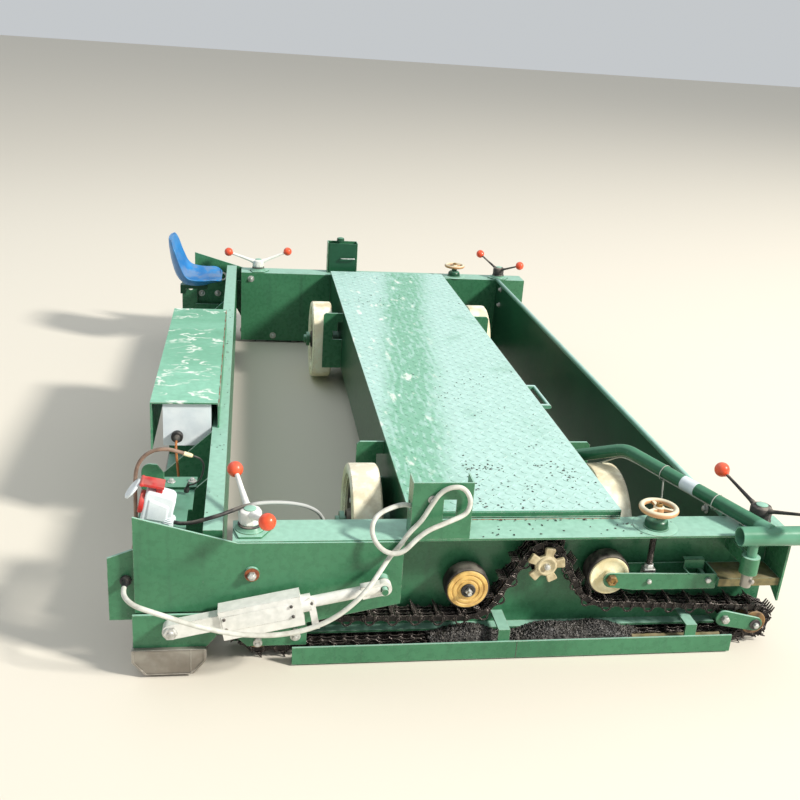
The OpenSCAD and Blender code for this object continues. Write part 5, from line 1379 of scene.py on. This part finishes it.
outer_rim, inner_rim = inset(pan_outline, 1.0), inset(pan_outline, 0.93)
rim_points = np.concatenate([
    np.column_stack([o[:, 0], np.full(6, y), o[:, 1]])
    for o, y in [(outer_rim, -1.5300), (outer_rim, -1.5325), (inner_rim, -1.5325), (inner_rim, -1.5300)]])
pan_rim = (rim_points, [grid_faces(4, 6, True, True)])
fold = join(block(-0.7560, -0.7535, -1.5312, -1.5300, 0.013, 0.083),
            plate([(-0.900, 0.0830), (-0.720, 0.0830), (-0.7180, 0.0865), (-0.902, 0.0865)],
                  -1.5325, -1.5200))
put("pan_rims_r", join(pan_rim, fold), ground_steel, "screed", bevel=0.0006)
put("pan_rims_l", other_end(join(pan_rim, fold)), ground_steel, "screed", bevel=0.0006)

# %% The seat's shell
seat_line = smooth_path([(-1.006, 0.588), (-1.002, 0.540), (-0.990, 0.470), (-0.968, 0.405), (-0.930, 0.366),
                         (-0.880, 0.356), (-0.830, 0.362), (-0.785, 0.376), (-0.748, 0.380)], 10)
seat_y, seat_half = 1.25, 0.170
slide = np.linspace(-1, 1, 29)
steps_along = np.linspace(0, 1, len(seat_line))
tangent = np.gradient(seat_line, axis=0)
tangent /= np.linalg.norm(tangent, axis=1)[:, None]
inwards = np.column_stack([-tangent[:, 1], tangent[:, 0]])
half_width = seat_half * (0.80 + 0.20 * np.sin(np.pi * np.clip(steps_along * 0.9 + 0.08, 0, 1)))
to_rim = np.clip(np.minimum(steps_along / 0.12, (1 - steps_along) / 0.12), 0, 1)
half_width = half_width * (0.66 + 0.34 * np.sqrt(1 - (1 - to_rim) ** 2))
curl = 0.055 * np.abs(slide)[None, :] ** 3.2 * (0.35 + 0.65 * np.sin(np.pi * steps_along))[:, None]
seat_points = np.stack([seat_line[:, 0, None] + inwards[:, 0, None] * curl,
                        seat_y + half_width[:, None] * slide[None, :],
                        seat_line[:, 1, None] + inwards[:, 1, None] * curl], -1)
seat_shape = (seat_points.reshape(-1, 3), [grid_faces(len(seat_line), len(slide))])
seat_shell = put("seat_shell", seat_shape, seat_plastic, smooth=70, replaces=["seat"])
shell_walls = seat_shell.modifiers.new("walls", "SOLIDIFY")
shell_walls.thickness, shell_walls.offset = 0.005, 0.0
shell_edge = seat_shell.modifiers.new("edges", "BEVEL")
shell_edge.width, shell_edge.segments = 0.0015, 2

# %% [markdown]
# ## The control cabinet
# The cabinet's lid is pale like the deck, from sun bleaching and painted sunlight, and years of tools
# put down on it have left white curly scuffs. A noise that is close to its middle value marks thin
# curved strokes, a fine noise breaks them up and a coarse one keeps them in groups. The lid's front
# edge has a rusty, chipped seam.

# %% The cabinet's paint with its scuffs
cabinet_paint = paint_finish("cabinet_paint", srgb(74, 146, 108), srgb(64, 134, 98), srgb(146, 205, 180),
    under=srgb(238, 244, 238), sun=0.9, wear=0.5, streaks=0.2, gloss=0.24, stone_chips=0.2)
tree, lid_colour, base_input = opened(cabinet_paint)
place = add(tree, "TexCoord").outputs["Object"]
curls = noise(tree, place, 1.0, 2.0, stretch=(9.0, 15.0, 9.0))
from_middle = calc(tree, "ABSOLUTE", calc(tree, "SUBTRACT", curls, 0.5))
strokes = ramp(tree, from_middle, 0.045, 0.012)
broken = ramp(tree, noise(tree, place, 60.0, 4.0), 0.36, 0.56)
strokes = times(tree, strokes, broken)
groups = ramp(tree, noise(tree, place, 1.0, 2.0, stretch=(4.0, 5.0, 4.0)), 0.45, 0.56)
scuffed = times(tree, times(tree, strokes, groups), 0.85)
far_share = ramp(tree, part_of(tree, place, "Y"), -0.75, 0.25)
deeper = ramp(tree, noise(tree, place, 1.0, 4.0, stretch=(2.0, 5.0, 2.0)), 0.36, 0.66)
deeper = times(tree, calc(tree, "ADD", deeper, far_share), 0.30)
lid_colour = mixed(tree, deeper, lid_colour, srgb(72, 146, 108))
wire(tree, mixed(tree, scuffed, lid_colour, srgb(240, 244, 236)), base_input)
give_finish("cabinet_cover", cabinet_paint)
print("the cabinet's paint has", len(tree.nodes), "nodes")

# %% The rusty seam of the lid's front edge
lid_seam_y = np.linspace(-0.788, 0.288, 160)
lid_seam_r = np.clip(0.0010 + 0.0011 * np.sin(lid_seam_y * 83) * np.sin(lid_seam_y * 29 + 1)
                     + 0.0007 * np.sin(lid_seam_y * 411), 0.0005, 0.003)
lid_seam = tube(np.column_stack([np.full(160, -0.7045), lid_seam_y, np.full(160, 0.4852)]), lid_seam_r, 8,
                across=(1, 0, 0.3))
put("cabinet_seam", lid_seam, rust, "screed")
print("cabinet seam:", len(lid_seam_y), "rings")

# %% The box's black gland and its brown lead
box_gland = lathe([(0.0060, -0.7800), (0.0186, -0.7800), (0.0188, -0.7945), (0.0165, -0.7975),
                   (0.0110, -0.7985), (0.0095, -0.8110), (0.0062, -0.8240), (0.0046, -0.8260)],
                  at=(-0.835, 0, 0.368), axis="y", sides=32)
gland_piece = put("box_gland", box_gland, black_plastic, "screed")
brown_lead_finish = raw_finish("brown_lead", srgb(176, 112, 62), srgb(150, 90, 48), srgb(214, 160, 110),
    rub_width=0.001, rub=0.2, grain=420.0, patches=35.0, dust_cover=0.2, rough=0.5, slot="motor_iron")
brown_path = smooth_path([(-0.835, -0.794, 0.368), (-0.835, -0.810, 0.368), (-0.835, -0.826, 0.368),
    (-0.8348, -0.843, 0.3634), (-0.834, -0.8554, 0.351), (-0.8325, -0.860, 0.334), (-0.829, -0.8615, 0.290),
    (-0.824, -0.8615, 0.220), (-0.819, -0.8615, 0.150), (-0.816, -0.861, 0.0935)], 6)
brown_lead = put("box_lead", tube(brown_path, 0.0040, 12), brown_lead_finish, "screed", smooth=60)
grommet = put("box_lead_grommet",
              lathe([(0.0042, 0.0928), (0.0100, 0.0928), (0.0100, 0.0965), (0.0070, 0.1010),
                     (0.0042, 0.1020)], at=(-0.816, -0.861, 0), axis="z", sides=24), black_plastic, "screed")

# %% [markdown]
# ## Small parts of the end frames
# The brackets on the flanges are closed on their inner side by a plate with a bright grip, and a
# cap stands on top. Bolts hold the webs, the front plate and the side plates, and an eye ring is
# welded to each side plate's inner face.

# %% Bracket plates, grips, caps, eye rings and bolts
bracket_plate = block(-0.188, -0.042, -1.4398, -1.4370, 0.386, 0.543)
# The bracket plate gets the darker copy of the green paint: painted shade.
put("bracket_plates", other_end(bracket_plate), shade_green, bevel=0.0010)
grip_path = smooth_path([(-0.123, -1.4372, 0.462), (-0.123, -1.4250, 0.464), (-0.119, -1.4180, 0.466),
                         (-0.087, -1.4165, 0.466), (-0.056, -1.4180, 0.466), (-0.052, -1.4250, 0.464),
                         (-0.052, -1.4372, 0.462)], 6)
put("bracket_grips", other_end(tube(grip_path, 0.0036, 12, across=(0.0, 0.1, 1.0))), zinc, smooth=60)
cap = lathe([(0.0200, 0.546), (0.0200, 0.560), (0.0180, 0.567), (0.0100, 0.570), (0.001, 0.5705)],
            at=(-0.126, 1.470, 0), axis="z", sides=32)
# The cap gets the darker copy of the green paint: painted shade.
put("bracket_cap", cap, shade_green)
bracket_bolt = outward(bolt(0.0130), -0.142, 1.4998, 0.498)
put("bracket_bolts", both_ends(bracket_bolt), zinc, bevel=0.0004)
inward, web_face, side_face = facing((0, 1, 0)), 1.385, 1.4998
web_bolts = join(*[placed(bolt(0.018), (x, -y, z), inward) for x, y, z in
                   [(-0.600, web_face, 0.350), (-0.480, web_face, 0.040), (-0.284, web_face, 0.046),
                    (-0.860, side_face, 0.235), (-0.775, side_face, 0.237)]])
front_bolts = join(*[placed(bolt(0.016), (0.7348, y, z), facing((-1, 0, 0))) for y, z in
                     [(-1.284, 0.355), (-1.286, 0.270)]])
put("web_bolts", both_ends(join(web_bolts, front_bolts)), zinc, bevel=0.0004)
wire_turn = np.linspace(0, full_turn, 12, endpoint=False)
ring_r, wire_r = 0.0180, 0.0048
eye_ring = lathe(np.column_stack([ring_r + wire_r * np.cos(wire_turn), -1.4950 + wire_r * np.sin(wire_turn)]),
                 at=(-0.748, 0, 0.332), axis="y", sides=36, ring=True)
put("eye_rings", both_ends(eye_ring), white_paint)
bead = lathe([(0.0096, -1.3835), (0.0102, -1.3825), (0.0102, 1.3825), (0.0096, 1.3835)], at=(0.738, 0, 0.382),
             axis="y", sides=28)
put("front_plate_bead", bead, pale_green)

# %% [markdown]
# ## The guide handle's band and lead
# The long tube of the guide handle is a deep glossy green. The cross tube stands in the sun, and
# its paler tone is painted sunlight, which grows with the distance outwards. A blank white band is
# wrapped round the tube. A cream lead runs along its underside, held by ties, and ends in a small
# white connector.

# %% Paint of the handle
handle_paint = paint_finish("handle_paint", srgb(52, 108, 78), srgb(42, 94, 68), srgb(78, 136, 106),
                            under=srgb(190, 205, 190), sun=0.8, wear=0.3, streaks=0.1, gloss=0.14)
tree, tube_tone, base_input = opened(handle_paint)
place = add(tree, "TexCoord").outputs["Object"]
handle_out = part_of(tree, place, "Y")
# Painted sunlight: the cross tube, further out, gets a paler tone.
sunlit_tube_tone = mixed(tree, ramp(tree, noise(tree, place, 9.0, 5.0), 0.3, 0.7), srgb(84, 140, 112),
                    srgb(112, 168, 142))
sunlit_cross_share = times(tree, ramp(tree, handle_out, -1.494, -1.503), 0.85)
wire(tree, mixed(tree, sunlit_cross_share, tube_tone, sunlit_tube_tone), base_input)
give_finish("guide_handle", handle_paint)
print("the handle's paint has", len(tree.nodes), "nodes")

# %% Band, lead, ties and connector
tube_start, tube_end = np.array([0.557, -1.049, 0.442]), np.array([0.800, -1.527, 0.409])
tube_way = (tube_end - tube_start) / np.linalg.norm(tube_end - tube_start)


def on_tube(share, drop=0.0):
    """The point at a share of the tube's length, lowered by a drop."""
    return tube_start + share * (tube_end - tube_start) - [0, 0, drop]


band = lathe([(0.0200, 0.0), (0.0206, 0.0006), (0.0206, 0.0505), (0.0200, 0.0510)], axis="z", sides=48)
put("handle_band", placed(band, on_tube(0.43), facing(tube_way)), box_plastic)
along_tube = [on_tube(t, 0.0236) for t in (0.08, 0.2, 0.32, 0.44, 0.56, 0.68, 0.80)]
handle_lead_path = smooth_path([(0.4252, -0.936, 0.330), (0.440, -0.936, 0.330), (0.456, -0.941, 0.332),
    (0.490, -0.968, 0.353), (0.524, -1.006, 0.386), (0.552, -1.040, 0.4120), *along_tube,
    on_tube(0.855, 0.026)], 5)
handle_lead = put("handle_lead", tube(handle_lead_path, 0.0028, 10), cable_sheath, smooth=60)
tie = lathe([(0.0244, -0.0013), (0.0250, -0.0013), (0.0250, 0.0013), (0.0244, 0.0013)], axis="z", sides=40,
            ring=True)
ties = [placed(tie, on_tube(t, 0.0036), facing(tube_way)) for t in (0.30, 0.66)]
tie_piece = put("handle_ties", join(*ties), cable_sheath)
connector_shape = lathe([(0.0030, -0.004), (0.0052, 0.0), (0.0060, 0.004), (0.0060, 0.020), (0.0048, 0.022),
                         (0.0048, 0.028), (0.0010, 0.0285)], axis="z", sides=20)
handle_plug = put("handle_connector",
                  placed(connector_shape, handle_lead_path[-1], facing(tube_way + [0, 0, -0.12])),
                  box_plastic)

# %% The loose strand with its knot
strand_hang = [(0, 0, 0), (0.001, 0.002, -0.014), (0.004, 0.001, -0.060), (0.002, -0.004, -0.120),
               (-0.001, -0.002, -0.165)]
strand_path = smooth_path(on_tube(0.30, 0.027) + np.array(strand_hang), 6)
strand = put("lead_strand", tube(strand_path, 0.0024, 10), cable_sheath, smooth=60)
knot_turns = np.linspace(0, 3 * full_turn, 90, endpoint=False)
knot_line = np.column_stack([0.0042 * np.cos(knot_turns), 0.0042 * np.sin(knot_turns),
                             0.0034 * np.sin(knot_turns * 2 / 3)])
knot = put("lead_knot", tube(knot_line + strand_path[-1] - [0, 0, 0.003], 0.0022, 8), cable_sheath)

# %% [markdown]
# ## Nuts on the lifting pins
# The rear pins of the lifting actuators end in plain hexagon nuts with the threaded end showing.
# A nut could be cut into the CAD model, but as a separate piece it gets its own bright finish.
# It rides with the actuator's case, which turns on that pin.

# %% Pin nuts
pin_nut = outward(join(nut(0.032, 0.010),
                       lathe([(0.0092, 0.0), (0.0092, 0.0125), (0.0070, 0.0140)], axis="z", sides=24)),
                  pin_x, 1.5602, pin_z)
for key, turn_side in end_turns.items():
    put("pin_nuts_" + key, turn_side(pin_nut), zinc, "actuator_body_" + key, bevel=0.0006)

# %% [markdown]
# ## Floor and light
# The photograph was taken in open sun, and here the machine stands on a plain pale floor. One
# large lamp high on the right stands for the sun, and an even bright world stands for the sky,
# so the faces that look to the left stay a deep green.

# %% Floor, lamps and world
floor_mesh = bpy.data.meshes.new("floor")
floor_mesh.from_pydata([(-60, -60, 0), (60, -60, 0), (60, 60, 0), (-60, 60, 0)], [], [(0, 1, 2, 3)])
floor = bpy.data.objects.new("floor", floor_mesh)
scene.collection.objects.link(floor)
floor_paint = bpy.data.materials.new("floor_paint")
floor_paint.use_nodes = True
floor_shader = floor_paint.node_tree.nodes["Principled BSDF"]
floor_shader.inputs["Base Color"].default_value = srgb(222, 216, 203)
floor_shader.inputs["Roughness"].default_value = 0.85
floor_mesh.materials.append(floor_paint)

world = bpy.data.worlds.new("studio")
scene.world = world
world.use_nodes = True
world.node_tree.nodes["Background"].inputs["Color"].default_value = (0.93, 0.97, 1.0, 1.0)
world.node_tree.nodes["Background"].inputs["Strength"].default_value = 0.6
scene.view_settings.view_transform = "Standard"


def lamp(name, place, target, size, power, tint):
    """A square soft lamp at a place, turned to face a target."""
    light = bpy.data.lights.new(name, "AREA")
    light.size, light.energy, light.color = size, power, tint
    lamp_object = bpy.data.objects.new(name, light)
    scene.collection.objects.link(lamp_object)
    aim = Vector(target) - Vector(place)
    lamp_object.matrix_world = Matrix.Translation(place) @ aim.to_track_quat("-Z", "Y").to_matrix().to_4x4()


lamp("sun_lamp", (13.8, -8.8, 12.0), (0.0, 0.0, 0.2), 2.4, 5700, (1.0, 0.955, 0.88))
lamp("sky_lamp", (-3.0, 3.0, 6.0), (-0.2, 0.0, 0.2), 5.0, 60, (0.9, 0.96, 1.0))
print("lamps:", [light.name for light in bpy.data.lights])
